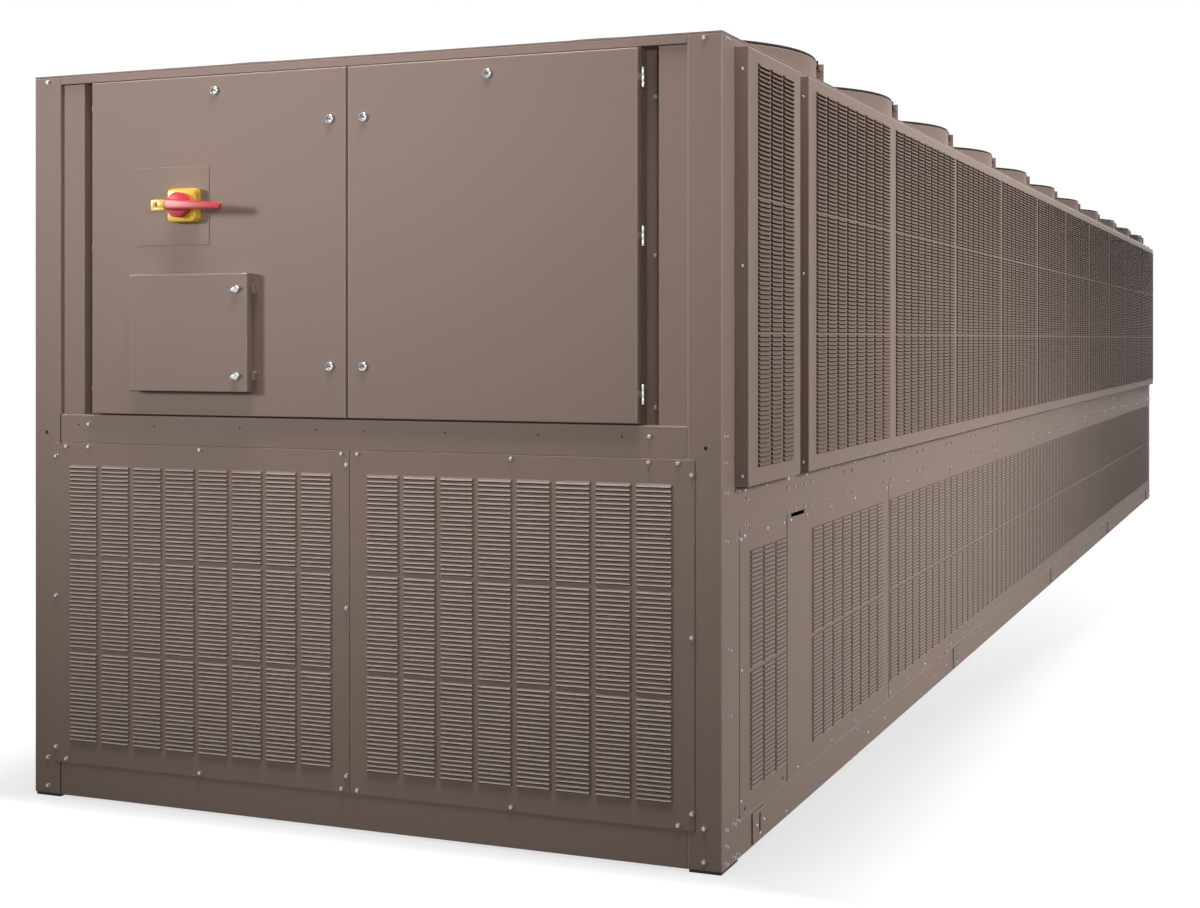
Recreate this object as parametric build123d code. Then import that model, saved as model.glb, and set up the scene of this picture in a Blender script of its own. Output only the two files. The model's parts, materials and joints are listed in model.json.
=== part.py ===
# Air-cooled chiller: a long steel frame with a control cabinet at one end, louvred sides and two rows of fans.
# Millimetres, +Z up, ground at Z 0. The control end faces -Y and the length runs along Y.
from build123d import *
import os

os.makedirs("parts", exist_ok=True)

# Fans and bays
COWL_R = 514.0
COWL_WALL = 12.0
COWL_H = 63.0
COWL_GAP = 26.0
ROW_GAP = 164.0
DECK_MARGIN = 11.0
DECK_T = 4.0
FAN_END_MARGIN = 61.0
FAN_START = 300.0
BAY_COUNT = 10
BAY_L = 1120.0
RIM_H = 12.0
RIM_PROUD = 5.0
JOINT_ANGLE = 18.0
JOINT_PROUD = 24.0
JOINT_T = 8.0
GUARD_BAR = 8.0
GUARD_T = 8.0
GUARD_RINGS = 4
GUARD_SPOKES = 8
HUB_R = 105.0
HUB_H = 46.0
BLADE_COUNT = 5
BLADE_W = 190.0
BLADE_T = 6.0
BLADE_TILT = 11.0
BLADE_TIP_GAP = 22.0
ROTOR_LIFT = 6.0
MOTOR_R = 85.0
MOTOR_H = 190.0
ARM_W = 40.0
ARM_H = 20.0
ARM_LAP = 24.0

# Frame
FRAME_H = 2224.0
POST_W = 98.0
POST_D = 149.0
POST_WALL = 4.0
FOOT_T = 8.0
FOOT_INSET = 4.0
ANCHOR_R = 11.0
RAIL_D = 60.0
RAIL_WALL = 5.0
BASE_TOP = 110.0
SIDE_MID_BOTTOM = 894.0
SIDE_MID_H = 116.0
END_MID_BOTTOM = 1093.0
END_MID_H = 88.0
HEADER_H = 28.0
UPRIGHT_W = 150.0
LOWER_UPRIGHT_W = 70.0
UPRIGHT_D = 50.0
CROSS_W = 80.0
CROSS_COUNT = 6
MULLION_W = 90.0

# Side panels
SHEET = 3.0
PAN_START = 108.0
PAN_PROUD = 40.0
PAN_SEAM = 2.0
PAN_GAP = 96.0
PAN_RISE = 6.0
FRONT_PAN_L = 501.0
LOWER_NARROW_L = 458.0
LOWER_BLANK_L = 185.0
LOWER_SEAM = 8.0
NOTCH_L = 145.0
NOTCH_H = 11.0
NOTCH_START = 42.0
COIL_T = 60.0
COIL_END_GAP = 60.0

# End panels
PANEL_LAP = 22.0
PANEL_SEAM = 3.0

# Lifting brackets on the side base rails
LIFT_COUNT = 5
LIFT_END = 318.0
LIFT_W = 128.0
LIFT_H = 84.0
LIFT_T = 6.0
LIFT_SLOT_W = 14.0
LIFT_SLOT_H = 60.0

# Control cabinet and doors
RECESS_W = 134.0
RECESS_D = 55.0
FILLER_W = 83.0
FILLER_SET_BACK = 10.0
FILLER_DROP = 12.0
CABINET_D = 350.0
CABINET_WALL = 3.0
PLATE_T = 4.0
PLATE_MARGIN = 66.0
DOOR_PROUD = 20.0
DOOR_D = 25.0
DOOR_GAP = 6.0
DOOR_CLEAR = 5.0
ISOLATOR_W = 150.0
ISOLATOR_H = 180.0
ISOLATOR_D = 120.0

# Hinges
HINGE_R = 6.0
HINGE_L = 54.0
HINGE_PIN_R = 3.0
HINGE_FREE = 0.3
HINGE_SIDE_GAP = 1.0
HINGE_AXIS_S = 3.0
HINGE_LEAF = 3.0
HINGE_LEAF_L = 30.0
HINGE_END = 78.0

# Door fittings
LATCH_R = 13.0
LATCH_H = 7.0
LATCH_HEX = 10.0
LATCH_HEX_D = 4.0
LATCH_IN = 52.0
LATCH_END = 148.0
LATCH_TOP = 46.0
SWITCH_X = 345.0
SWITCH_Z = 622.0
PLATE_W = 254.0
PLATE_H = 232.0
PLATE_SHIFT_X = -48.0
PLATE_OUT = 2.0
ESCUTCHEON = 100.0
ESCUTCHEON_D = 30.0
ESCUTCHEON_CORNER = 14.0
KNOB_R = 37.0
KNOB_D = 45.0
KNOB_FREE = 0.4
LEVER_L = 165.0
LEVER_ROOT = 22.0
LEVER_TIP = 9.0
LEVER_D = 24.0
TAB_L = 88.0
TAB_H = 32.0
TAB_D = 12.0
TAB_FLAT = 30.0
TAB_HOLE_R = 7.0
TAB_LIFT = 12.0

# Display cover
COVER_X = 163.0
COVER_Z = 72.0
COVER_W = 414.0
COVER_H = 346.0
COVER_D = 30.0
COVER_OUT = 5.0
COVER_SHEET = 2.0
COVER_HINGE_R = 4.0
COVER_PIN_R = 2.0
COVER_HINGE_L = 42.0
COVER_HINGE_END = 50.0
WING_IN = 38.0
WING_END = 46.0
WING_BASE_R = 9.0
WING_BASE_H = 6.0
WING_L = 30.0
WING_W = 9.0
WING_H = 10.0
KEEPER_W = 9.0
KEEPER_L = 26.0
KEEPER_OUT = 20.0
DISPLAY_MARGIN = 46.0
DISPLAY_T = 14.0
SCREEN_MARGIN = 36.0
SCREEN_H = 120.0
SCREEN_DEPTH = 3.0

# Lengths and planes that follow
FAN_PITCH = 2 * COWL_R + COWL_GAP
HALF_W = 2 * COWL_R + ROW_GAP / 2 + DECK_MARGIN
FRAME_L = 2 * PAN_START + FRONT_PAN_L + PAN_GAP + BAY_COUNT * BAY_L
FRONT = -FRAME_L / 2
DECK_Z = FRAME_H - DECK_T
INNER_X = HALF_W - POST_W
RAIL_X = HALF_W - RAIL_D
HEADER_Z = FRAME_H - HEADER_H
SIDE_MID_TOP = SIDE_MID_BOTTOM + SIDE_MID_H
END_MID_TOP = END_MID_BOTTOM + END_MID_H
FAN_X = COWL_R + ROW_GAP / 2
FAN_COUNT = int((FRAME_L - FAN_END_MARGIN - FAN_START + COWL_GAP) // FAN_PITCH)
LAST_FAN_S = FRAME_L - FAN_END_MARGIN - COWL_R
FIRST_BAY_S = PAN_START + FRONT_PAN_L + PAN_GAP
FIRST_LOWER_S = POST_D + LOWER_NARROW_L + LOWER_BLANK_L
DOOR_X = INNER_X - RECESS_W
DOOR_FRONT = FRONT - DOOR_PROUD
DOOR_BOTTOM = END_MID_TOP + DOOR_CLEAR
DOOR_TOP = HEADER_Z - DOOR_CLEAR
CABINET_FRONT_S = DOOR_D - DOOR_PROUD + DOOR_CLEAR
CABINET_BACK_S = CABINET_FRONT_S + CABINET_D
HINGE_X = DOOR_X + HINGE_SIDE_GAP + HINGE_R
SWITCH_AT = (SWITCH_X - DOOR_X, DOOR_BOTTOM + SWITCH_Z)
COVER_LEFT = COVER_X - DOOR_X
COVER_BOTTOM = DOOR_BOTTOM + COVER_Z
COVER_AXIS = (COVER_LEFT - HINGE_SIDE_GAP - COVER_HINGE_R, DOOR_FRONT - COVER_OUT - COVER_HINGE_R)


def block(x0, x1, y0, y1, z0, z1):
    """A box between six planes."""
    middle = Pos((x0 + x1) / 2, (y0 + y1) / 2, (z0 + z1) / 2)
    return middle * Box(abs(x1 - x0), abs(y1 - y0), abs(z1 - z0))


def side_block(side, inner, outer, s0, s1, z0, z1):
    """A box on one side: inner and outer from the middle plane, s along the unit from the control end."""
    return block(side * inner, side * outer, FRONT + s0, FRONT + s1, z0, z1)


def end_block(end, x0, x1, d0, d1, z0, z1):
    """A box at one end: d is the depth inwards from that end's post faces."""
    return block(x0, x1, end * (FRAME_L / 2 - d0), end * (FRAME_L / 2 - d1), z0, z1)


def upright_cylinder(x, y, z0, z1, radius):
    return Pos(x, y, (z0 + z1) / 2) * Cylinder(radius, z1 - z0)


def door_plane(out):
    """A drawing plane in front of the doors, with x to the right, y up and its normal towards the viewer."""
    return Plane(origin=(0, DOOR_FRONT - out, 0), x_dir=(1, 0, 0), z_dir=(0, -1, 0))


def on_door(x, z, sketch, out0, out1):
    """A flat outline drawn about (x, z), raised from out0 to out1 in front of the door face."""
    return extrude(door_plane(out0) * (Pos(x, z) * sketch), out1 - out0)


def save(node, *solids):
    """Write the separate solids of one named piece."""
    shape = solids[0] if len(solids) == 1 else Compound(children=list(solids))
    export_step(shape, f"parts/{node}.step")


SIDES = (-1, 1)
ENDS = (-1, 1)
CORNERS = [(side, end) for side in SIDES for end in ENDS]


# Frame
def corner_post(side, end):
    x0, x1 = side * INNER_X, side * HALF_W
    wall = side * POST_WALL
    outer = end_block(end, x0, x1, 0, POST_D, FOOT_T, DECK_Z)
    bore = end_block(end, x0 + wall, x1 - wall, POST_WALL, POST_D - POST_WALL, FOOT_T, DECK_Z)
    return outer - bore


def foot_pad(side, end):
    x0, x1 = side * (INNER_X + FOOT_INSET), side * (HALF_W - FOOT_INSET)
    pad = end_block(end, x0, x1, FOOT_INSET, POST_D - FOOT_INSET, 0, FOOT_T)
    x, y = side * (HALF_W - POST_W / 2), end * (FRAME_L - POST_D) / 2
    return pad - upright_cylinder(x, y, 0, FOOT_T, ANCHOR_R)


def lift_places():
    step = (FRAME_L - 2 * LIFT_END) / (LIFT_COUNT - 1)
    return [LIFT_END + step * i for i in range(LIFT_COUNT)]


def side_rail(side, z0, z1):
    """A channel with its web outside."""
    outer = side_block(side, RAIL_X, HALF_W, POST_D, FRAME_L - POST_D, z0, z1)
    room = side_block(side, RAIL_X, HALF_W - RAIL_WALL, POST_D, FRAME_L - POST_D, z0 + RAIL_WALL, z1 - RAIL_WALL)
    return outer - room


def end_rail(end, z0, z1):
    outer = end_block(end, -INNER_X, INNER_X, 0, RAIL_D, z0, z1)
    return outer - end_block(end, -INNER_X, INNER_X, RAIL_WALL, RAIL_D, z0 + RAIL_WALL, z1 - RAIL_WALL)


def lifting_bracket(side, s):
    """A plate on the rail's web with an upright slot."""
    middle = (FOOT_T + BASE_TOP) / 2

    def patch(width, height):
        low, high = middle - height / 2, middle + height / 2
        return side_block(side, HALF_W, HALF_W + LIFT_T, s - width / 2, s + width / 2, low, high)

    return patch(LIFT_W, LIFT_H) - patch(LIFT_SLOT_W, LIFT_SLOT_H)


def cross_member(index):
    step = (FRAME_L - 2 * POST_D - CROSS_W) / (CROSS_COUNT - 1)
    s = POST_D + step * index
    return block(-RAIL_X, RAIL_X, FRONT + s, FRONT + s + CROSS_W, FOOT_T, BASE_TOP)


def upper_uprights(side):
    joints = [FIRST_BAY_S - PAN_GAP / 2] + [FIRST_BAY_S + BAY_L * i for i in range(1, BAY_COUNT)]
    half = UPRIGHT_W / 2
    inner = HALF_W - UPRIGHT_D
    return [side_block(side, inner, HALF_W, s - half, s + half, SIDE_MID_TOP, HEADER_Z) for s in joints]


def lower_seams():
    """Joints between the lower side panels: after the narrow front panel, then between the bays."""
    bays = [FIRST_LOWER_S + BAY_L * i for i in range(1, BAY_COUNT)]
    return [POST_D + LOWER_NARROW_L] + bays


def lower_uprights(side):
    joints = lower_seams()
    half = LOWER_UPRIGHT_W / 2
    outer = HALF_W - SHEET
    inner = outer - UPRIGHT_D
    return [side_block(side, inner, outer, s - half, s + half, BASE_TOP, SIDE_MID_BOTTOM) for s in joints]


def mullion(end, z0, z1):
    return end_block(end, -MULLION_W / 2, MULLION_W / 2, 0, RAIL_D, z0, z1)


def build_frame():
    save("foot_pads", *[foot_pad(side, end) for side, end in CORNERS])
    save("corner_posts", *[corner_post(side, end) for side, end in CORNERS])
    save("side_base_rails", *[side_rail(side, FOOT_T, BASE_TOP) for side in SIDES])
    save("end_base_rails", *[end_rail(end, FOOT_T, BASE_TOP) for end in ENDS])
    save("base_cross_members", *[cross_member(i) for i in range(CROSS_COUNT)])
    save("side_mid_rails", *[side_rail(side, SIDE_MID_BOTTOM, SIDE_MID_TOP) for side in SIDES])
    save("end_mid_rails", *[end_rail(end, END_MID_BOTTOM, END_MID_TOP) for end in ENDS])
    save("end_headers", *[end_rail(end, HEADER_Z, DECK_Z) for end in ENDS])
    save("side_top_rails", *[side_rail(side, HEADER_Z, DECK_Z) for side in SIDES])
    save("upper_uprights", *[post for side in SIDES for post in upper_uprights(side)])
    save("lower_uprights", *[post for side in SIDES for post in lower_uprights(side)])
    lower = [mullion(end, BASE_TOP, END_MID_BOTTOM) for end in ENDS]
    save("end_mullions", *lower, mullion(1, END_MID_TOP, HEADER_Z))
    save("lifting_brackets", *[lifting_bracket(side, s) for side in SIDES for s in lift_places()])


# Fans
def fan_centres():
    rows = [FRONT + LAST_FAN_S - FAN_PITCH * i for i in range(FAN_COUNT)]
    return [(side * FAN_X, y) for side in SIDES for y in rows]


def fan_deck():
    deck = block(-HALF_W, HALF_W, FRONT, -FRONT, DECK_Z, FRAME_H)
    holes = [upright_cylinder(x, y, DECK_Z, FRAME_H, COWL_R - COWL_WALL) for x, y in fan_centres()]
    return deck - holes


def ring(outer, inner, z0, z1):
    return upright_cylinder(0, 0, z0, z1, outer) - upright_cylinder(0, 0, z0, z1, inner)


def fan_cowl():
    """Two half rings with a turned-out rim, bolted together at upright joint flanges."""
    top = FRAME_H + COWL_H
    cowl = ring(COWL_R, COWL_R - COWL_WALL, FRAME_H, top)
    cowl += ring(COWL_R + RIM_PROUD, COWL_R - COWL_WALL, top - RIM_H, top)
    inner, outer = COWL_R - COWL_WALL / 2, COWL_R + JOINT_PROUD
    flange = block(inner, outer, -JOINT_T / 2, JOINT_T / 2, FRAME_H, top)
    return cowl + [Rot(0, 0, JOINT_ANGLE + turn) * flange for turn in (0, 180)]


def fan_guard():
    """Flat rings and spokes, joined where they cross."""
    outline = Circle(COWL_R) - Circle(COWL_R - COWL_WALL)
    step = (COWL_R - HUB_R) / GUARD_RINGS
    for i in range(GUARD_RINGS):
        radius = HUB_R + step * i
        outline += Circle(radius) - Circle(radius - GUARD_BAR)
    reach = COWL_R - COWL_WALL - HUB_R + GUARD_BAR
    for i in range(GUARD_SPOKES):
        bar = Pos(HUB_R - GUARD_BAR + reach / 2, 0) * Rectangle(reach, GUARD_BAR)
        outline += Rot(0, 0, 360 / GUARD_SPOKES * i) * bar
    return Pos(0, 0, FRAME_H + COWL_H) * extrude(outline, GUARD_T)


def fan_rotor():
    """A hub with flat pitched blades."""
    low = DECK_Z + ROTOR_LIFT
    hub = upright_cylinder(0, 0, low, low + HUB_H, HUB_R)
    tip = COWL_R - COWL_WALL - BLADE_TIP_GAP
    root = HUB_R / 2
    blade = Pos((root + tip) / 2, 0, low + HUB_H / 2) * Rot(BLADE_TILT, 0, 0) * Box(tip - root, BLADE_W, BLADE_T)
    reach = upright_cylinder(0, 0, low, low + HUB_H, tip)
    blades = [Rot(0, 0, 360 / BLADE_COUNT * i) * (blade & reach) for i in range(BLADE_COUNT)]
    return hub + blades


def fan_motor():
    """A motor hung on two crossed arms under the deck, with a stub shaft up to the hub."""
    body = upright_cylinder(0, 0, DECK_Z - MOTOR_H, DECK_Z, MOTOR_R)
    span = 2 * (COWL_R - COWL_WALL + ARM_LAP)
    arm = Pos(0, 0, DECK_Z - ARM_H / 2) * Box(span, ARM_W, ARM_H)
    shaft = upright_cylinder(0, 0, DECK_Z, DECK_Z + ROTOR_LIFT, HUB_R / 3)
    return body + Rot(0, 0, 45) * arm + Rot(0, 0, -45) * arm + shaft


def build_fans():
    save("fan_deck", fan_deck())
    pieces = {"fan_cowls": fan_cowl(), "fan_guards": fan_guard(), "fan_rotors": fan_rotor(), "fan_motors": fan_motor()}
    for node, piece in pieces.items():
        save(node, *[Pos(x, y, 0) * piece for x, y in fan_centres()])


# Side panels and what lies behind them
def pan(side, s0, s1):
    """A proud louvre panel: a face sheet with a flange all round, open at the back."""
    low, high = SIDE_MID_TOP + PAN_RISE, HEADER_Z
    outer = side_block(side, HALF_W, HALF_W + PAN_PROUD, s0, s1, low, high)
    inner = side_block(side, HALF_W, HALF_W + PAN_PROUD - SHEET, s0 + SHEET, s1 - SHEET, low + SHEET, high - SHEET)
    return outer - inner


def upper_panels(side):
    half = PAN_SEAM / 2
    pans = [pan(side, PAN_START, PAN_START + FRONT_PAN_L)]
    for i in range(BAY_COUNT):
        s = FIRST_BAY_S + BAY_L * i
        pans.append(pan(side, s + half, s + BAY_L - half))
    return pans


def lower_panels(side):
    """Flush sheets, the second one notched at its top."""
    seams = [POST_D] + lower_seams() + [FRAME_L - POST_D]
    half = LOWER_SEAM / 2
    low, high = BASE_TOP, SIDE_MID_BOTTOM
    spans = zip(seams[:-1], seams[1:])
    sheets = [side_block(side, HALF_W - SHEET, HALF_W, a + half, b - half, low, high) for a, b in spans]
    start = lower_seams()[0] + NOTCH_START
    sheets[1] -= side_block(side, HALF_W - SHEET, HALF_W, start, start + NOTCH_L, high - NOTCH_H, high)
    return sheets


def coil(side):
    outer = HALF_W - UPRIGHT_D
    first, last = CABINET_BACK_S + COIL_END_GAP, FRAME_L - POST_D - COIL_END_GAP
    return side_block(side, outer - COIL_T, outer, first, last, SIDE_MID_TOP, HEADER_Z)


def build_sides():
    for side, name in zip(SIDES, ("left", "right")):
        save(f"{name}_upper_louvre_panels", *upper_panels(side))
        save(f"{name}_lower_louvre_panels", *lower_panels(side))
    save("condenser_coils", *[coil(side) for side in SIDES])
    low, high = SIDE_MID_TOP - RAIL_WALL, SIDE_MID_TOP
    save("plenum_floor", block(-RAIL_X, RAIL_X, FRONT + POST_D, -FRONT - POST_D, low, high))


# End panels
def end_panel(end, side, z0, z1):
    return end_block(end, side * PANEL_SEAM / 2, side * (INNER_X + PANEL_LAP), -SHEET, 0, z0, z1)


def build_ends():
    for side, name in zip(SIDES, ("left", "right")):
        save(f"front_{name}_louvre_panel", end_panel(-1, side, BASE_TOP, END_MID_BOTTOM))
    save("rear_lower_louvre_panels", *[end_panel(1, side, BASE_TOP, END_MID_BOTTOM) for side in SIDES])
    save("rear_upper_panels", *[end_panel(1, side, END_MID_TOP, HEADER_Z) for side in SIDES])


# Control cabinet
def front_block(x0, x1, s0, s1, z0, z1):
    return end_block(-1, x0, x1, s0, s1, z0, z1)


def filler(side):
    """A strip beside the door, folded back to the recess plate."""
    x0, x1 = side * (INNER_X - FILLER_W), side * INNER_X
    low, high = END_MID_TOP, HEADER_Z - FILLER_DROP
    outer = front_block(x0, x1, FILLER_SET_BACK, RECESS_D, low, high)
    return outer - front_block(x0 + side * SHEET, x1, FILLER_SET_BACK + SHEET, RECESS_D, low, high)


def recess_plate(side):
    return front_block(side * DOOR_X, side * INNER_X, RECESS_D, RECESS_D + SHEET, END_MID_TOP, HEADER_Z)


def isolator():
    x, z = SWITCH_AT
    back = CABINET_BACK_S - PLATE_T
    half_w, half_h = ISOLATOR_W / 2, ISOLATOR_H / 2
    return front_block(x - half_w, x + half_w, back - ISOLATOR_D, back, z - half_h, z + half_h)


def build_cabinet():
    wall = CABINET_WALL
    low, high = END_MID_TOP, HEADER_Z
    front, back = CABINET_FRONT_S, CABINET_BACK_S
    save("cabinet_back", front_block(-DOOR_X, DOOR_X, back, back + wall, low, high))
    sides = [front_block(s * (DOOR_X - wall), s * DOOR_X, front, back, low + wall, high - wall) for s in SIDES]
    save("cabinet_sides", *sides)
    floor = front_block(-DOOR_X, DOOR_X, front, back, low, low + wall)
    save("cabinet_top_and_floor", floor, front_block(-DOOR_X, DOOR_X, front, back, high - wall, high))
    edge = DOOR_X - PLATE_MARGIN
    bottom, top = low + PLATE_MARGIN, high - PLATE_MARGIN
    save("mounting_plate", front_block(-edge, edge, back - PLATE_T, back, bottom, top))
    save("isolator_switch", isolator())
    save("recess_plates", *[recess_plate(side) for side in SIDES])
    save("front_fillers", *[filler(side) for side in SIDES])


# Doors and their hinges
def knuckle_spans(z, length):
    """The lower fixed, moving and upper fixed knuckles of one hinge, with running gaps between them."""
    half, third = length / 2, length / 6
    return (z - half, z - third - HINGE_FREE), (z - third, z + third), (z + third + HINGE_FREE, z + half)


def fixed_knuckles(x, y, z, length, radius, pin):
    lower, moving, upper = knuckle_spans(z, length)
    knuckles = [upright_cylinder(x, y, *span, radius) for span in (lower, upper)]
    return knuckles[0] + knuckles[1] + upright_cylinder(x, y, lower[0], upper[1], pin)


def moving_knuckle(x, y, z, length, radius, pin):
    span = knuckle_spans(z, length)[1]
    return upright_cylinder(x, y, *span, radius) - upright_cylinder(x, y, *span, pin + HINGE_FREE)


def hinge_heights():
    middle = (DOOR_BOTTOM + DOOR_TOP) / 2
    return DOOR_BOTTOM + HINGE_END, middle, DOOR_TOP - HINGE_END


def cabinet_hinge(side, z):
    """The fixed half: two knuckles, the pin and a leaf on the cabinet's side."""
    x, y = side * HINGE_X, FRONT + HINGE_AXIS_S
    hinge = fixed_knuckles(x, y, z, HINGE_L, HINGE_R, HINGE_PIN_R)
    inner = side * (DOOR_X + HINGE_SIDE_GAP)
    root_s = HINGE_AXIS_S + HINGE_R
    leaf_s = CABINET_FRONT_S + HINGE_LEAF_L
    lower, _, upper = knuckle_spans(z, HINGE_L)
    for low, high in (lower, upper):
        hinge += front_block(inner, x, HINGE_AXIS_S, root_s + HINGE_LEAF, low, high)
    leaf = front_block(side * DOOR_X, inner + side * HINGE_LEAF, root_s + HINGE_LEAF, leaf_s, lower[0], upper[1])
    return hinge + leaf


def door_hinge(side, z):
    """The moving half: one knuckle and a leaf on the door's edge."""
    x, y = side * HINGE_X, FRONT + HINGE_AXIS_S
    knuckle = moving_knuckle(x, y, z, HINGE_L, HINGE_R, HINGE_PIN_R)
    low, high = knuckle_spans(z, HINGE_L)[1]
    edge = side * DOOR_X
    web = front_block(edge, x, HINGE_AXIS_S - HINGE_R, HINGE_AXIS_S, low, high)
    web -= upright_cylinder(x, y, low, high, HINGE_PIN_R + HINGE_FREE)
    leaf = front_block(edge, edge + side * HINGE_LEAF, HINGE_LEAF - DOOR_PROUD, HINGE_AXIS_S, low, high)
    return knuckle + web + leaf


def door(side):
    """A pan with a flange all round, open at the back."""
    inner, outer = DOOR_GAP / 2, DOOR_X
    back = DOOR_D - DOOR_PROUD
    shell = front_block(side * inner, side * outer, -DOOR_PROUD, back, DOOR_BOTTOM, DOOR_TOP)
    low, high = DOOR_BOTTOM + SHEET, DOOR_TOP - SHEET
    x0, x1 = side * (inner + SHEET), side * (outer - SHEET)
    return shell - front_block(x0, x1, SHEET - DOOR_PROUD, back, low, high)


def door_latch(x, z):
    head = on_door(x, z, Circle(LATCH_R), 0, LATCH_H)
    return head - on_door(x, z, RegularPolygon(LATCH_HEX, 6), LATCH_H - LATCH_HEX_D, LATCH_H)


def latch_places(side):
    inner = side * (DOOR_GAP / 2 + LATCH_IN)
    middle = side * (DOOR_GAP / 2 + DOOR_X) / 2
    return [(inner, DOOR_BOTTOM + LATCH_END), (inner, DOOR_TOP - LATCH_END), (middle, DOOR_TOP - LATCH_TOP)]


def build_doors():
    save("cabinet_hinges", *[cabinet_hinge(side, z) for side in SIDES for z in hinge_heights()])
    for side, name in zip(SIDES, ("left", "right")):
        save(f"{name}_door", door(side))
        save(f"{name}_door_hinges", *[door_hinge(side, z) for z in hinge_heights()])
        save(f"{name}_door_latches", *[door_latch(x, z) for x, z in latch_places(side)])


# Switch on the left door
def switch_handle():
    """A round knob with a tapered lever to the right and a flat on the left."""
    x, z = SWITCH_AT
    base = PLATE_OUT + ESCUTCHEON_D + KNOB_FREE
    knob = on_door(x, z, Circle(KNOB_R), base, base + KNOB_D)
    beyond = Pos(-TAB_FLAT - KNOB_R, 0) * Rectangle(2 * KNOB_R, 2 * KNOB_R)
    knob -= on_door(x, z, beyond, base, base + KNOB_D)
    taper = Polygon((0, -LEVER_ROOT), (LEVER_L, -LEVER_TIP), (LEVER_L, LEVER_TIP), (0, LEVER_ROOT), align=None)
    return knob + on_door(x, z, taper, base + KNOB_D - LEVER_D, base + KNOB_D)


def padlock_tab():
    x, z = SWITCH_AT
    base = PLATE_OUT + ESCUTCHEON_D + KNOB_FREE + TAB_LIFT
    middle = -(TAB_L + TAB_FLAT) / 2
    outline = Pos(middle, 0) * Rectangle(TAB_L - TAB_FLAT, TAB_H)
    outline -= Pos(middle - TAB_H / 4, 0) * Circle(TAB_HOLE_R)
    return on_door(x, z, outline, base, base + TAB_D)


def build_switch():
    x, z = SWITCH_AT
    save("switch_plate", on_door(x + PLATE_SHIFT_X, z, Rectangle(PLATE_W, PLATE_H), 0, PLATE_OUT))
    square = RectangleRounded(ESCUTCHEON, ESCUTCHEON, ESCUTCHEON_CORNER)
    save("switch_escutcheon", on_door(x, z, square, PLATE_OUT, PLATE_OUT + ESCUTCHEON_D))
    save("switch_handle", switch_handle())
    save("switch_padlock_tab", padlock_tab())


# Display behind its cover on the left door
def cover_hinge_heights():
    return COVER_BOTTOM + COVER_HINGE_END, COVER_BOTTOM + COVER_H - COVER_HINGE_END


def cover_block(x0, x1, out0, out1, z0, z1):
    """A box on the left door, with x from the cover's hinged edge and z from its bottom."""
    y0, y1 = DOOR_FRONT - out0, DOOR_FRONT - out1
    return block(COVER_LEFT + x0, COVER_LEFT + x1, y0, y1, COVER_BOTTOM + z0, COVER_BOTTOM + z1)


def display_cover():
    """A shallow pan with a hinge knuckle at two places on its left flange."""
    t = COVER_SHEET
    front = COVER_OUT + COVER_D
    cover = cover_block(0, COVER_W, COVER_OUT, front, 0, COVER_H)
    cover -= cover_block(t, COVER_W - t, COVER_OUT, front - t, t, COVER_H - t)
    x, y = COVER_AXIS
    for z in cover_hinge_heights():
        low, high = knuckle_spans(z, COVER_HINGE_L)[1]
        web = block(x, COVER_LEFT, y - COVER_HINGE_R, y, low, high)
        web -= upright_cylinder(x, y, low, high, COVER_PIN_R + HINGE_FREE)
        cover += moving_knuckle(x, y, z, COVER_HINGE_L, COVER_HINGE_R, COVER_PIN_R) + web
    return cover


def cover_hinge(z):
    """The fixed half: two knuckles with their pin on feet that stand on the door."""
    x, y = COVER_AXIS
    hinge = fixed_knuckles(x, y, z, COVER_HINGE_L, COVER_HINGE_R, COVER_PIN_R)
    lower, _, upper = knuckle_spans(z, COVER_HINGE_L)
    for low, high in (lower, upper):
        hinge += block(x - COVER_HINGE_R, x, y, DOOR_FRONT, low, high)
    return hinge


def wing_heights():
    return WING_END, COVER_H - WING_END


def wing_latch(height):
    x, z = COVER_LEFT + COVER_W - WING_IN, COVER_BOTTOM + height
    face = COVER_OUT + COVER_D
    base = on_door(x, z, Circle(WING_BASE_R), face, face + WING_BASE_H)
    return base + on_door(x, z, Rectangle(WING_L, WING_W), face + WING_BASE_H, face + WING_BASE_H + WING_H)


def cover_keeper(height):
    near = COVER_W + DOOR_CLEAR
    return cover_block(near, near + KEEPER_W, 0, KEEPER_OUT, height - KEEPER_L / 2, height + KEEPER_L / 2)


def display_unit():
    m, s = DISPLAY_MARGIN, SCREEN_MARGIN
    top = COVER_H - m - s
    bezel = cover_block(m, COVER_W - m, 0, DISPLAY_T, m, COVER_H - m)
    return bezel - cover_block(m + s, COVER_W - m - s, DISPLAY_T - SCREEN_DEPTH, DISPLAY_T, top - SCREEN_H, top)


def build_display():
    save("display_cover", display_cover())
    save("cover_hinges", *[cover_hinge(z) for z in cover_hinge_heights()])
    save("cover_latches", *[wing_latch(height) for height in wing_heights()])
    save("cover_keepers", *[cover_keeper(height) for height in wing_heights()])
    save("display_unit", display_unit())


build_frame()
build_fans()
build_sides()
build_ends()
build_cabinet()
build_doors()
build_switch()
build_display()
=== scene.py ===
"""Air-cooled chiller: painted steelwork, pressed louvres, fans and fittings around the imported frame."""
import json
import math

import bmesh
import bpy
from bpy.props import FloatProperty, FloatVectorProperty, IntProperty, PointerProperty
from mathutils import Matrix, Vector


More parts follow.
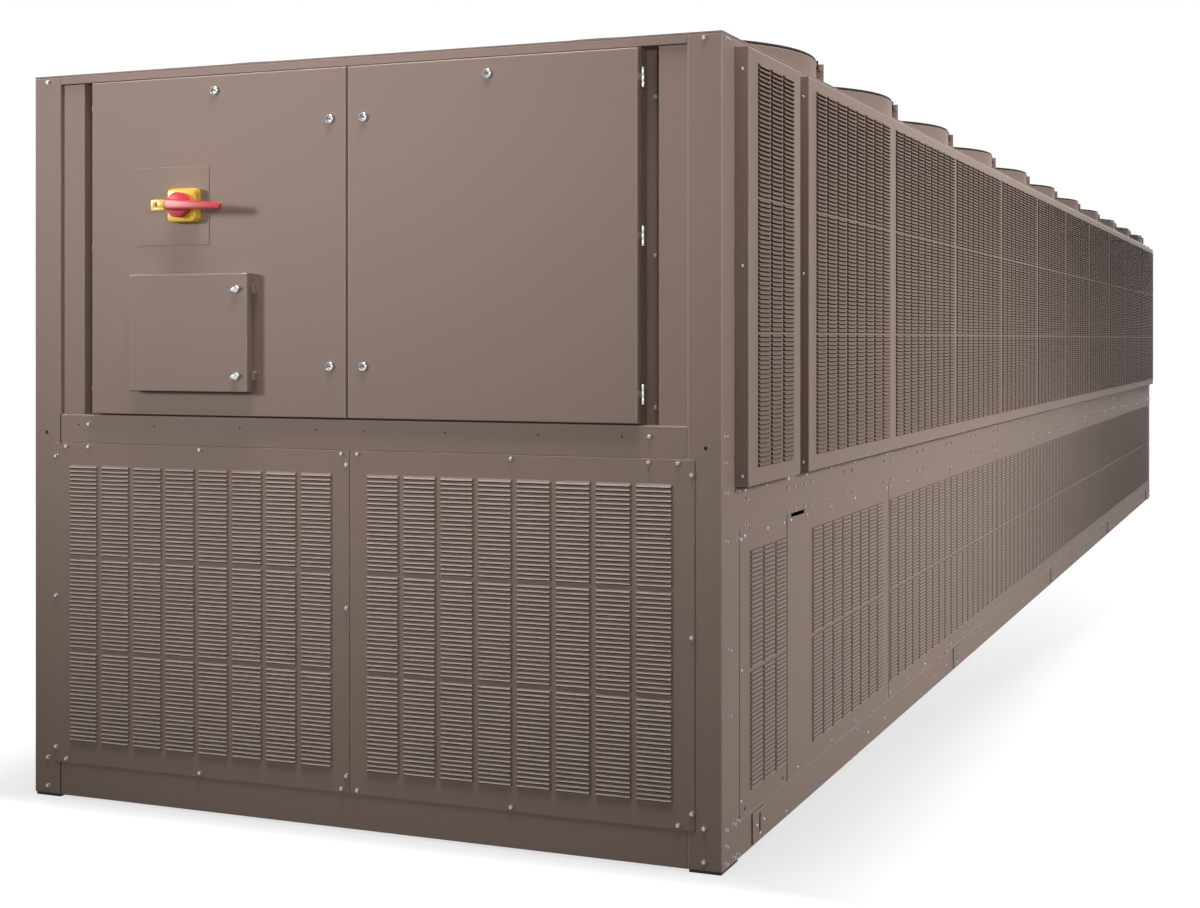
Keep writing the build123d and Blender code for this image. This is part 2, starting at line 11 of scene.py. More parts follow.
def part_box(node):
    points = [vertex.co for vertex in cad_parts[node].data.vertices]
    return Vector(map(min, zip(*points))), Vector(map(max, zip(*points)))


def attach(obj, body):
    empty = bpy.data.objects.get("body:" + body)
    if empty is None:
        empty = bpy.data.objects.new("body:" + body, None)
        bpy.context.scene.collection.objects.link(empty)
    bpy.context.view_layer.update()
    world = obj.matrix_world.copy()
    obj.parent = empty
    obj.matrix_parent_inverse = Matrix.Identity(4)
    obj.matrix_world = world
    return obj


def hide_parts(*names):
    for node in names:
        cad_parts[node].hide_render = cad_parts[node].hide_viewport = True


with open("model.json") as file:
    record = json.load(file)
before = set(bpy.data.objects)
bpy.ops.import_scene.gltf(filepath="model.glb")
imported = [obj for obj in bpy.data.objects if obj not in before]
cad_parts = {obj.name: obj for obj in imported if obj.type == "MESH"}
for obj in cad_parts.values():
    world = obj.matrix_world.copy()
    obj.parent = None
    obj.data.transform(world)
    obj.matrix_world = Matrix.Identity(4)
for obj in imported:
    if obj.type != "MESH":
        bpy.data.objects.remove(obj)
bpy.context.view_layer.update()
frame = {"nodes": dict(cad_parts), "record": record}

bl_info = {
    "name": "Air-cooled chiller",
    "version": (1, 0, 0),
    "blender": (4, 5, 0),
    "location": "3D View > Sidebar > Chiller",
    "description": "Finishes the steelwork, louvres, fans, cabinet and fittings of a long air-cooled chiller",
    "category": "Add Mesh",
}

# Planes and edges of the frame, in metres
POST_LOW, POST_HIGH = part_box("corner_posts")
FRONT_Y, REAR_Y = POST_LOW.y, POST_HIGH.y
SIDE_X = POST_HIGH.x
PAN_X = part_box("right_upper_louvre_panels")[1].x
DOOR_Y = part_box("left_door")[0].y
PANEL_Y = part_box("front_left_louvre_panel")[0].y
REAR_PANEL_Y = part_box("rear_lower_louvre_panels")[1].y
RECESS_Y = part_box("recess_plates")[0].y
PIN_R = 0.006
PIN_X, PIN_Y = (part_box("right_door_hinges")[1] - Vector((PIN_R, PIN_R, 0)))[:2]

# Directions
RIGHT = Vector((1, 0, 0))
FORWARD = Vector((0, -1, 0))
BACK = Vector((0, 1, 0))
UP = Vector((0, 0, 1))
SIDES = (-1, 1)

# Small reaches: for merging points, for telling faces apart and for sinking one piece into another
WELD = 0.00002
EDGE_REACH = 0.0002
LAP = 0.0004


# Sizes and colours that a user would change
class ChillerLouvres(bpy.types.PropertyGroup):
    """Sizes of the pressed louvre hoods."""
    hood_length: FloatProperty(name="Hood length", description="Length of one hood", default=0.103,
                               unit="LENGTH")
    hood_height: FloatProperty(name="Hood height", description="How far the lip stands out", default=0.0065,
                               unit="LENGTH")
    hood_rise: FloatProperty(name="Hood rise", description="Height of a hood from lip to top", default=0.009,
                             unit="LENGTH")
    hood_taper: FloatProperty(name="End taper", description="Length of a hood's sloped end", default=0.003,
                              unit="LENGTH")
    slit: FloatProperty(name="Slit", description="Height of the dark opening under a lip", default=0.0035,
                        unit="LENGTH")
    row_pitch: FloatProperty(name="Row pitch", description="Step from hood to hood, upwards", default=0.01255,
                             unit="LENGTH")


class ChillerFans(bpy.types.PropertyGroup):
    """Sizes of the fans' guards and blades."""
    wire_radius: FloatProperty(name="Wire radius", description="Radius of a guard wire", default=0.0022,
                               unit="LENGTH")
    frame_radius: FloatProperty(name="Frame radius", description="Radius of the guard's outer ring",
                                default=0.0045, unit="LENGTH")
    guard_rise: FloatProperty(name="Guard rise", description="How far the guard bulges up", default=0.012,
                              unit="LENGTH")
    ring_count: IntProperty(name="Rings", description="Wire rings inside the outer ring", default=12, min=3)
    spoke_count: IntProperty(name="Spokes", description="Straight wires of a guard", default=8, min=3)
    blade_count: IntProperty(name="Blades", description="Blades of one fan", default=5, min=2)


class ChillerFittings(bpy.types.PropertyGroup):
    """Sizes of bolts, screws and holes."""
    bolt_radius: FloatProperty(name="Bolt radius", description="Radius of a bolt's flange", default=0.0072,
                               unit="LENGTH")
    screw_radius: FloatProperty(name="Screw radius", description="Radius of a small screw head",
                                default=0.0054, unit="LENGTH")
    hole_radius: FloatProperty(name="Hole radius", description="Radius of a drilled hole", default=0.0055,
                               unit="LENGTH")


class ChillerFinish(bpy.types.PropertyGroup):
    """Colours of the finishes."""
    paint: FloatVectorProperty(name="Paint", description="Satin powder coat of the steelwork",
                               subtype="COLOR", default=(0.285, 0.208, 0.174), min=0, max=1)
    yellow: FloatVectorProperty(name="Yellow", description="Plastic of the switch plate", subtype="COLOR",
                                default=(0.80, 0.49, 0.035), min=0, max=1)
    red: FloatVectorProperty(name="Red", description="Plastic of the switch handle", subtype="COLOR",
                             default=(0.55, 0.035, 0.045), min=0, max=1)
    plated: FloatVectorProperty(name="Plated", description="Bright plating of hinges and latches",
                                subtype="COLOR", default=(0.56, 0.57, 0.58), min=0, max=1)


class ChillerStage(bpy.types.PropertyGroup):
    """Light levels and the camera's lens and turn."""
    key_power: FloatProperty(name="Key light", description="Lamp in front, on the left", default=23.5,
                             unit="POWER")
    fill_power: FloatProperty(name="Fill light", description="Lamp in front, on the right", default=8,
                              unit="POWER")
    top_power: FloatProperty(name="Top light", description="Lamp above the control end", default=48,
                             unit="POWER")
    side_power: FloatProperty(name="Side light", description="Lamp on the right", default=200, unit="POWER")
    left_power: FloatProperty(name="Left light", description="Lamp on the left", default=320, unit="POWER")
    rear_power: FloatProperty(name="Rear light", description="Lamp behind the far end", default=60,
                              unit="POWER")
    deck_power: FloatProperty(name="Deck light", description="Lamp above the fans", default=260, unit="POWER")
    ambient: FloatProperty(name="Ambient", description="Level of the surrounding light", default=0.01, min=0)
    lens: FloatProperty(name="Lens", description="Focal length in millimetres on a 36 mm sensor",
                        default=53.45)
    turn: FloatProperty(name="Turn", description="Camera's turn to the left", default=math.radians(22.26),
                        subtype="ANGLE")


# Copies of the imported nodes
def merged_copy(node):
    """A copy of a node's mesh with its loose triangles joined."""
    bm = bmesh.new()
    bm.from_mesh(frame["nodes"][node].data)
    bmesh.ops.remove_doubles(bm, verts=bm.verts, dist=WELD)
    return bm


def flat_copy(node):
    """A copy of a node's mesh with one face for each flat side."""
    bm = merged_copy(node)
    bmesh.ops.dissolve_limit(bm, angle_limit=math.radians(1), verts=bm.verts, edges=bm.edges)
    return bm


def islands(node):
    """The boxes of a node's separate solids, in order along the unit."""
    bm = merged_copy(node)
    waiting = set(bm.verts)
    boxes = []
    while waiting:
        stack = [waiting.pop()]
        found = list(stack)
        while stack:
            vert = stack.pop()
            near = [edge.other_vert(vert) for edge in vert.link_edges]
            fresh = [other for other in near if other in waiting]
            waiting.difference_update(fresh)
            stack.extend(fresh)
            found.extend(fresh)
        points = [vert.co for vert in found]
        low = Vector(min(p[i] for p in points) for i in range(3))
        high = Vector(max(p[i] for p in points) for i in range(3))
        boxes.append((low, high))
    bm.free()
    return sorted(boxes, key=lambda box: (round(box[0].y, 4), box[0].x, box[0].z))


def middles(boxes):
    """The middle of each box along the unit."""
    return [(low.y + high.y) / 2 for low, high in boxes]


# Mesh helpers
def add_piece(name, bm, slot, body="unit", stands_for=(), smooth=None, extra=(), look=None):
    """Make an object of a finished mesh, attach it to its body, and hide the nodes that it stands for.

    Its first finish is the slot's, unless look names another; the extra ones go by the faces' material index.
    """
    bmesh.ops.recalc_face_normals(bm, faces=bm.faces)
    mesh = bpy.data.meshes.new(name)
    bm.to_mesh(mesh)
    bm.free()
    if smooth:
        mesh.shade_smooth()
        mesh.set_sharp_from_angle(angle=math.radians(smooth))
    for coat in (look or slot, *extra):
        mesh.materials.append(bpy.data.materials[coat])
    piece = bpy.data.objects.new(name, mesh)
    bpy.context.scene.collection.objects.link(piece)
    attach(piece, body)
    if stands_for:
        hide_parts(*stands_for)
    return piece


def bevel(bm, edges, width, segments=2):
    """Round edges, and mark the new faces for a painted highlight, which lightens the paint there."""
    half_highlight = 0.5
    made = bmesh.ops.bevel(bm, geom=edges, offset=width, offset_type="OFFSET", segments=segments, profile=0.5,
                           affect="EDGES", material=-1, clamp_overlap=True)
    bm.faces.index_update()
    marked = {face.index for face in made["faces"] if face.is_valid}
    # The 'edge' mark is a painted highlight: painted finishes lighten these rounded faces.
    layer = bm.faces.layers.float.get("edge") or bm.faces.layers.float.new("edge")
    bm.faces.ensure_lookup_table()
    for index in marked:
        bm.faces[index][layer] = half_highlight


def on_outer_face(node, *axes):
    """A test for edges that lie on the node's outermost faces along the given axes."""
    low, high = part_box(node)
    reach = [max(abs(low[axis]), abs(high[axis])) - EDGE_REACH for axis in axes]

    def test(edge):
        return any(all(abs(v.co[axis]) > limit for v in edge.verts) for axis, limit in zip(axes, reach))

    return test


def is_sharp(edge):
    """Whether the two faces at an edge meet at more than a slight angle."""
    return edge.is_manifold and edge.calc_face_angle(0) > math.radians(30)


def soften(name, node, slot, width, axes=(), body="unit", segments=2, smooth=None, marked=None, extra=()):
    """A piece from a node with its outer edges rounded; marked faces take the extra finish."""
    bm = flat_copy(node)
    chosen = on_outer_face(node, *axes) if axes else is_sharp
    bevel(bm, [edge for edge in bm.edges if is_sharp(edge) and chosen(edge)], width, segments)
    if marked:
        for face in bm.faces:
            face.material_index = int(marked(face.calc_center_median()))
    return add_piece(name, bm, slot, body, (node,), smooth, extra)


def off_the_pin(point):
    """Whether a point of a door hinge is on its leaf, away from the round knuckle."""
    return math.hypot(abs(point.x) - PIN_X, point.y - PIN_Y) > PIN_R + EDGE_REACH


def box_mesh(low, high, width=0.0, segments=2):
    """A box between two corners with rounded edges."""
    bm = bmesh.new()
    low, high = Vector(low), Vector(high)
    matrix = Matrix.Translation((low + high) / 2) @ Matrix.Diagonal((*(high - low), 1))
    bmesh.ops.create_cube(bm, size=1, matrix=matrix)
    if width:
        bevel(bm, bm.edges[:], width, segments)
    return bm


def join(*meshes):
    """One mesh from several, which are freed."""
    return copies_of(meshes, [Matrix.Identity(4)])


def copies(source, places):
    """A mesh with the source copied to each place; the source is freed."""
    return copies_of([source], places)


def copies_of(sources, places):
    """A mesh with each source copied to each place; the sources are freed."""
    bm = bmesh.new()
    for source in sources:
        part = bpy.data.meshes.new("part")
        source.to_mesh(part)
        source.free()
        for place in places:
            start = len(bm.verts)
            bm.from_mesh(part)
            bm.verts.ensure_lookup_table()
            bmesh.ops.transform(bm, matrix=place, verts=bm.verts[start:])
        bpy.data.meshes.remove(part)
    return bm


def repeat(bm, count, step):
    """Copy all of the mesh so far, each copy moved one step further."""
    source = bm.verts[:] + bm.edges[:] + bm.faces[:]
    for i in range(1, count):
        made = bmesh.ops.duplicate(bm, geom=source)["geom"]
        verts = [item for item in made if isinstance(item, bmesh.types.BMVert)]
        bmesh.ops.translate(bm, verts=verts, vec=step * i)


def spin_round(bm, steps):
    """Turn an outline all the way round the Z axis, and close the seam and the poles."""
    bmesh.ops.spin(bm, geom=bm.verts[:] + bm.edges[:], cent=(0, 0, 0), axis=UP, dvec=(0, 0, 0),
                   angle=2 * math.pi, steps=steps, use_merge=True)
    bmesh.ops.remove_doubles(bm, verts=bm.verts, dist=WELD)


def spun(outline, steps, closed=True):
    """A round mesh about the Z axis from an outline of (radius, height) points."""
    bm = bmesh.new()
    verts = [bm.verts.new((radius, 0, height)) for radius, height in outline]
    pairs = list(zip(verts, verts[1:]))
    if closed:
        pairs.append((verts[-1], verts[0]))
    for pair in pairs:
        bm.edges.new(pair)
    spin_round(bm, steps)
    return bm


# Places
def facing(point, normal):
    """A place at the point, with its Z axis along the normal."""
    turn = Vector(normal).to_track_quat("Z", "Y").to_matrix().to_4x4()
    return Matrix.Translation(point) @ turn


def front_places(node, plane):
    """Places that face the front, one in the middle of each of the node's solids."""
    return [facing(((low.x + high.x) / 2, plane, (low.z + high.z) / 2), FORWARD)
            for low, high in islands(node)]


def side_places(side, plane, spots):
    """Places on a side face: spots give the distance behind the front posts, and the height."""
    return [facing((side * plane, FRONT_Y + s, z), (side, 0, 0)) for s, z in spots]


def end_places(end, plane, spots):
    """Places on an end face: spots give x, seen from the front, and the height."""
    return [facing((x, plane, z), (0, end, 0)) for x, z in spots]


def turns(count, start=0.0):
    """Even turns about the Z axis."""
    return [Matrix.Rotation(start + 2 * math.pi * i / count, 4, "Z") for i in range(count)]


# Finishes
def maths(tree, operation, first, second):
    """The result of a Math node, which takes numbers or sockets."""
    node = tree.nodes.new("ShaderNodeMath")
    node.operation = operation
    for socket, value in zip(node.inputs, (first, second)):
        if isinstance(value, (int, float)):
            socket.default_value = value
        else:
            tree.links.new(value, socket)
    return node.outputs[0]


def surface_grain():
    """A shared node group: cloudy tone, a painted highlight on marked faces, uneven gloss and a fine grain.
    """
    tree = bpy.data.node_groups.new("surface_grain", "ShaderNodeTree")
    values = ("Tone", "Lift", "Cloud Scale", "Grain Scale", "Roughness", "Gloss Spread")
    for way, kind, names in (("INPUT", "Vector", ("Vector",)), ("INPUT", "Color", ("Colour",)),
                             ("INPUT", "Float", values), ("OUTPUT", "Color", ("Colour",)),
                             ("OUTPUT", "Float", ("Roughness", "Height"))):
        for name in names:
            tree.interface.new_socket(name, in_out=way, socket_type="NodeSocket" + kind)
    nodes, link = tree.nodes, tree.links.new
    inside = nodes.new("NodeGroupInput")
    outside = nodes.new("NodeGroupOutput")
    cloud = nodes.new("ShaderNodeTexNoise")
    cloud.inputs["Detail"].default_value = 4
    grain = nodes.new("ShaderNodeTexNoise")
    grain.inputs["Detail"].default_value = 2
    for texture, scale in ((cloud, "Cloud Scale"), (grain, "Grain Scale")):
        link(inside.outputs["Vector"], texture.inputs["Vector"])
        link(inside.outputs[scale], texture.inputs["Scale"])
    centred = maths(tree, "SUBTRACT", cloud.outputs["Fac"], 0.5)
    shift = maths(tree, "MULTIPLY", centred, inside.outputs["Tone"])
    scaled = nodes.new("ShaderNodeVectorMath")
    scaled.operation = "SCALE"
    link(inside.outputs["Colour"], scaled.inputs[0])
    link(maths(tree, "ADD", shift, 1.0), scaled.inputs["Scale"])
    # Lift adds a painted highlight to the colour of marked edges and louvre lips.
    lifted = nodes.new("ShaderNodeVectorMath")
    link(scaled.outputs["Vector"], lifted.inputs[0])
    link(inside.outputs["Lift"], lifted.inputs[1])
    link(lifted.outputs["Vector"], outside.inputs["Colour"])
    spread = maths(tree, "MULTIPLY", centred, inside.outputs["Gloss Spread"])
    link(maths(tree, "ADD", spread, inside.outputs["Roughness"]), outside.inputs["Roughness"])
    link(grain.outputs["Fac"], outside.inputs["Height"])


def finish(name, colour, roughness, tone=0.1, cloud=1.5, grain=900, bump=0.05, spread=0.1, metallic=0.0,
           specular=0.5, coat=0.0, edge=0.0):
    """A material on the shared surface grain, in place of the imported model's plain one."""
    relief_depth = 0.0006
    plain = bpy.data.materials.get(name)
    if plain:
        bpy.data.materials.remove(plain)
    material = bpy.data.materials.new(name)
    material.use_nodes = True
    tree = material.node_tree
    nodes, link = tree.nodes, tree.links.new
    shader = nodes["Principled BSDF"]
    shader.inputs["Metallic"].default_value = metallic
    shader.inputs["Specular IOR Level"].default_value = specular
    shader.inputs["Coat Weight"].default_value = coat
    place = nodes.new("ShaderNodeTexCoord")
    group = nodes.new("ShaderNodeGroup")
    group.node_tree = bpy.data.node_groups["surface_grain"]
    link(place.outputs["Object"], group.inputs["Vector"])
    for socket, value in (("Colour", (*colour, 1)), ("Tone", tone), ("Cloud Scale", cloud),
                          ("Grain Scale", grain), ("Roughness", roughness), ("Gloss Spread", spread)):
        group.inputs[socket].default_value = value
    # Faces marked 'edge' are lightened by edge times their mark: a painted highlight.
    if edge:
        mark = nodes.new("ShaderNodeAttribute")
        mark.attribute_name = "edge"
        link(maths(tree, "MULTIPLY", mark.outputs["Fac"], edge), group.inputs["Lift"])
    link(group.outputs["Colour"], shader.inputs["Base Color"])
    link(group.outputs["Roughness"], shader.inputs["Roughness"])
    relief = nodes.new("ShaderNodeBump")
    relief.inputs["Strength"].default_value = bump
    relief.inputs["Distance"].default_value = relief_depth
    link(group.outputs["Height"], relief.inputs["Height"])
    link(relief.outputs["Normal"], shader.inputs["Normal"])


def make_finishes(colours):
    """All finishes; the hoods on the long sides have a duller paint, darkened as painted shade."""
    surface_grain()
    # The side hoods' paint is a darker copy of the steel's paint: painted shade.
    shaded_hood_colour = [0.84 * part for part in colours.paint]
    finish("taupe_paint", colours.paint, 0.60, tone=0.10, cloud=0.9, grain=700, bump=0.10, spread=0.12,
           specular=0.18, edge=0.16)
    finish("shaded_side_louvre_paint", shaded_hood_colour, 0.8, tone=0.10, cloud=0.9, grain=700, bump=0.10, specular=0.03,
           edge=0.16)
    finish("louvre_shade", (0.060, 0.038, 0.030), 0.9, tone=0.3, cloud=3, grain=300, bump=0.05, specular=0.04)
    finish("chrome", colours.plated, 0.16, tone=0.12, cloud=60, grain=1500, bump=0.03, metallic=1.0)
    finish("galvanised", (0.34, 0.34, 0.34), 0.4, tone=0.45, cloud=55, grain=400, bump=0.06, metallic=1.0)
    finish("coil_fins", (0.24, 0.245, 0.25), 0.42, tone=0.25, cloud=3, grain=500, bump=0.1, metallic=1.0)
    finish("guard_black", (0.024, 0.021, 0.019), 0.6, tone=0.3, cloud=8, grain=900, bump=0.06, specular=0.12)
    finish("fan_black", (0.035, 0.035, 0.037), 0.55, tone=0.25, cloud=6, grain=700, bump=0.12)
    finish("yellow_plastic", colours.yellow, 0.34, tone=0.12, cloud=22, grain=1200, bump=0.06)
    finish("red_plastic", colours.red, 0.36, tone=0.14, cloud=22, grain=1200, bump=0.06)
    finish("dark_plastic", (0.055, 0.055, 0.06), 0.5, tone=0.2, cloud=18, grain=1400, bump=0.1)
    finish("rubber", (0.022, 0.021, 0.02), 0.8, tone=0.4, cloud=14, grain=600, bump=0.3)
    finish("screen_glass", (0.012, 0.016, 0.02), 0.08, tone=0.2, cloud=12, grain=300, bump=0.01, spread=0.04,
           coat=0.5)


class CHILLER_OT_finishes(bpy.types.Operator):
    """Make the finishes and give each carried-over piece its own"""
    bl_idname = "chiller.finishes"
    bl_label = "Finishes"

    def execute(self, context):
        make_finishes(context.scene.chiller_finish)
        for row in frame["record"]["subparts"]:
            mesh = frame["nodes"][row["node"]].data
            mesh.materials.clear()
            mesh.materials.append(bpy.data.materials[row["material_slot"]])
        return {"FINISHED"}


# Steelwork
class CHILLER_OT_steelwork(bpy.types.Operator):
    """Round the edges of the posts, rails and uprights"""
    bl_idname = "chiller.steelwork"
    bl_label = "Steelwork"

    def execute(self, context):
        paint, fold = "taupe_paint", 0.003
        soften("folded_corner_posts", "corner_posts", paint, 0.006, axes=(0, 1), segments=3)
        soften("rubber_feet", "foot_pads", "rubber", 0.002)
        for node in ("side_base_rails", "side_mid_rails", "side_top_rails", "upper_uprights",
                     "lifting_brackets"):
            soften("folded_" + node, node, paint, fold, axes=(0,))
        for node in ("end_base_rails", "end_mid_rails", "end_headers"):
            soften("folded_" + node, node, paint, fold, axes=(1,))
        return {"FINISHED"}


# Panels and louvres
class CHILLER_OT_panels(bpy.types.Operator):
    """Round the folds of the louvre panels"""
    bl_idname = "chiller.panels"
    bl_label = "Panels"

    def execute(self, context):
        paint, end_edge = "taupe_paint", 0.0014
        for side in ("left", "right"):
            soften(f"{side}_upper_pans", f"{side}_upper_louvre_panels", paint, 0.004, axes=(0,), segments=3)
            soften(f"{side}_lower_sheets", f"{side}_lower_louvre_panels", paint, 0.0012, axes=(0,))
            soften(f"front_{side}_sheet", f"front_{side}_louvre_panel", paint, end_edge, axes=(1,))
        soften("rear_lower_sheets", "rear_lower_louvre_panels", paint, end_edge, axes=(1,))
        soften("rear_upper_sheets", "rear_upper_panels", paint, end_edge, axes=(1,))
        return {"FINISHED"}


class Grid:
    """Counts and pitches of one panel's hoods, the strength of the painted highlight on their lips, whether
    their ends are painted shade, and their finish.
    """

    def __init__(self, columns, column_pitch, sections, section_pitch, rows, pale, dark_ends=False,
                 paint="shaded_side_louvre_paint"):
        self.columns, self.column_pitch = columns, column_pitch
        self.sections, self.section_pitch, self.rows = sections, section_pitch, rows
        self.pale, self.dark_ends, self.paint = pale, dark_ends, paint

    def width(self, sizes):
        """Width over all columns."""
        return (self.columns - 1) * self.column_pitch + sizes.hood_length


def hood(sizes, grid):
    """One pressed hood, with a painted highlight on its lip and a slit face of painted shade: its length is
    along X, and it stands out along Z.
    """
    lip_top, lip_lean = 0.45, 0.72
    rise, out, taper = sizes.hood_rise, sizes.hood_height, sizes.hood_taper
    profile = ((0, rise, -LAP), (0, -sizes.slit, -LAP), (taper, 0, out),
               (taper, rise * lip_top, out * lip_lean))
    slit_face, lip_face = 2, 3
    bm = bmesh.new()
    left = [bm.verts.new(point) for point in profile]
    right = [bm.verts.new((sizes.hood_length - x, y, z)) for x, y, z in profile]
    # End faces take louvre_shade where the grid asks: painted shade at the hood's ends.
    for profile_end in (left, right):
        bm.faces.new(profile_end).material_index = int(grid.dark_ends)
    # The slit face, in louvre_shade, is painted shade under the lip; the lip face is marked for a painted
    # highlight.
    layer = bm.faces.layers.float.new("edge")
    for i in range(len(profile)):
        face = bm.faces.new((left[i - 1], right[i - 1], right[i], left[i]))
        face.material_index = int(i == slit_face)
        face[layer] = grid.pale * (i == lip_face)
    return bm


def add_field(name, sizes, grid, corner, along, out, bays=1, bay_step=Vector()):
    """Hoods on one panel, or on a row of like panels; the corner is the lower left one, seen from outside."""
    bm = hood(sizes, grid)
    repeat(bm, grid.rows, Vector((0, sizes.row_pitch, 0)))
    repeat(bm, grid.sections, Vector((0, grid.section_pitch, 0)))
    repeat(bm, grid.columns, Vector((grid.column_pitch, 0, 0)))
    turn = Matrix((along, UP, out)).transposed().to_4x4()
    bmesh.ops.transform(bm, matrix=Matrix.Translation(corner) @ turn, verts=bm.verts)
    repeat(bm, bays, bay_step)
    add_piece(name, bm, "taupe_paint", smooth=30, extra=("louvre_shade",), look=grid.paint)


class CHILLER_OT_louvres(bpy.types.Operator):
    """Press the rows of louvre hoods into the side and end panels"""
    bl_idname = "chiller.louvres"
    bl_label = "Louvres"

    def execute(self, context):
        sizes = context.scene.chiller_louvres
        for side, name in zip(SIDES, ("left", "right")):
            self.upper_side(sizes, side, name)
            self.lower_side(sizes, side, name)
        self.end(sizes, -1, "front", PANEL_Y)
        self.end(sizes, 1, "rear", REAR_PANEL_Y)
        return {"FINISHED"}

    def side_field(self, sizes, name, side, grid, plane, middle, z, bays, step):
        """Hoods centred on a panel of one side, and on the like panels behind it."""
        corner = Vector((side * plane, middle - side * grid.width(sizes) / 2, z))
        add_field(name, sizes, grid, corner, BACK * side, RIGHT * side, bays, BACK * step)

    def upper_side(self, sizes, side, name):
        """The proud pans: a narrow one, a first bay and the like bays behind it."""
        lowest = 1.067
        at = middles(islands(f"{name}_upper_louvre_panels"))
        step = at[2] - at[1]
        for label, pan, columns, pitch, bays in (("narrow", 0, 3, 0.1195, 1), ("first", 1, 8, 0.1229, 1),
                                                 ("bay", 2, 9, 0.1205, len(at) - 2)):
            # pale sets the painted highlight on the lips; the ends are painted shade.
            grid = Grid(columns, pitch, sections=3, section_pitch=0.3678, rows=29, pale=0.3, dark_ends=True)
            self.side_field(sizes, f"{name}_upper_{label}_louvres", side, grid, PAN_X, at[pan], lowest, bays,
                            step)

    def lower_side(self, sizes, side, name):
        """The flush sheets: a narrow one, a first bay, the like bays behind it and a shorter last one."""
        lowest = 0.1734
        at = middles(islands(f"{name}_lower_louvre_panels"))
        step = at[3] - at[2]
        last = len(at) - 1
        for label, sheet, shift, columns, pitch, bays in (("narrow", 0, 0.035, 3, 0.119, 1),
                                                          ("first", 1, 0.092, 8, 0.1204, 1),
                                                          ("bay", 2, 0.0, 9, 0.1236, last - 2),
                                                          ("last", last, 0.0, 8, 0.1205, 1)):
            # pale sets the painted highlight on the lips; the ends keep the paint.
            grid = Grid(columns, pitch, sections=2, section_pitch=0.3348, rows=26, pale=1.0)
            self.side_field(sizes, f"{name}_lower_{label}_louvres", side, grid, SIDE_X, at[sheet] + shift,
                            lowest, bays, step)

    def end(self, sizes, end, name, plane):
        """The two sheets of one end."""
        middle, lowest = 0.5205, 0.183
        # pale sets the painted highlight on the lips.
        grid = Grid(8, 0.1175, sections=3, section_pitch=0.2855, rows=22, pale=1.0, paint="taupe_paint")
        for side, label in zip(SIDES, ("left", "right")):
            corner = Vector((side * middle + end * grid.width(sizes) / 2, plane, lowest))
            add_field(f"{name}_{label}_louvres", sizes, grid, corner, RIGHT * -end, BACK * end)


# Fans
JOINT_TURN = math.radians(18)
RIM_CLEARANCE = 0.035


def cowl_mesh(radius, low, high):
    """A rolled ring with a turned rim and two bolted joint flanges, about its own axis."""
    wall, rim, lip, roll, slope = 0.012, 0.0015, 0.008, 0.003, 0.004
    root, reach, half, top_gap, bolt_out = 0.006, 0.024, 0.004, 0.001, 0.013
    inner, outer = radius - wall, radius + rim
    ring = spun(((inner, low), (inner, high - roll), (inner + roll, high), (outer - roll, high),
                 (outer, high - roll), (outer, high - lip), (radius, high - lip - slope), (radius, low)), 72)
    flange = box_mesh((radius - root, -half, low), (radius + reach, half, high - top_gap), 0.0015)
    bolt_places = [facing((radius + bolt_out, half * way, low + share * (high - low)), (0, way, 0))
                   for way in SIDES for share in (0.25, 0.68)]
    flange = join(flange, copies(bolt_mesh(0.0075), bolt_places))
    return join(ring, copies(flange, turns(2, JOINT_TURN)))


def wire_ring(radius, height, wire, steps=44, sides=4):
    """A wire bent to a ring."""
    bm = bmesh.new()
    bmesh.ops.create_circle(bm, segments=sides, radius=wire)
    turn = Matrix.Translation((radius, 0, height)) @ Matrix.Rotation(math.pi / 2, 4, "X")
    bmesh.ops.transform(bm, matrix=turn, verts=bm.verts)
    spin_round(bm, steps)
    return bm


def rod(start, stop, radius, sides=6):
    """A straight round rod between two points."""
    bm = bmesh.new()
    way = Vector(stop) - Vector(start)
    bmesh.ops.create_cone(bm, cap_ends=True, segments=sides, radius1=radius, radius2=radius, depth=way.length,
                          matrix=facing((Vector(start) + Vector(stop)) / 2, way))
    return bm


def guard_mesh(sizes, radius, base):
    """A domed guard of wire rings on straight spokes, in a thicker outer ring, with clips over the rim."""
    wire, edge = sizes.wire_radius, sizes.frame_radius
    inner, middle, outer, end = 0.09, radius * 0.55, radius - RIM_CLEARANCE, radius - 0.004

    def height(r):
        return base + edge + sizes.guard_rise * (1 - (r / radius) ** 2)

    parts = [wire_ring(radius - edge, base + edge, edge, 64, 6)]
    for i in range(sizes.ring_count):
        r = inner + (outer - inner) * i / (sizes.ring_count - 1)
        parts.append(wire_ring(r, height(r), wire))
    parts.append(spun(((0, height(0) - 0.002), (inner, height(inner) - 0.002), (inner, height(inner) + 0.001),
                       (0, height(0) + 0.002)), 24, closed=False))
    spoke = join(rod((inner, 0, height(inner) - wire), (middle, 0, height(middle) - wire), wire),
                 rod((middle, 0, height(middle) - wire), (end, 0, height(radius)), wire))
    clip = box_mesh((end, -0.009, base - 0.016), (radius + 0.007, 0.009, base + 0.010), 0.003)
    return join(*parts, copies(spoke, turns(sizes.spoke_count, JOINT_TURN)),
                copies(clip, turns(2, JOINT_TURN)))


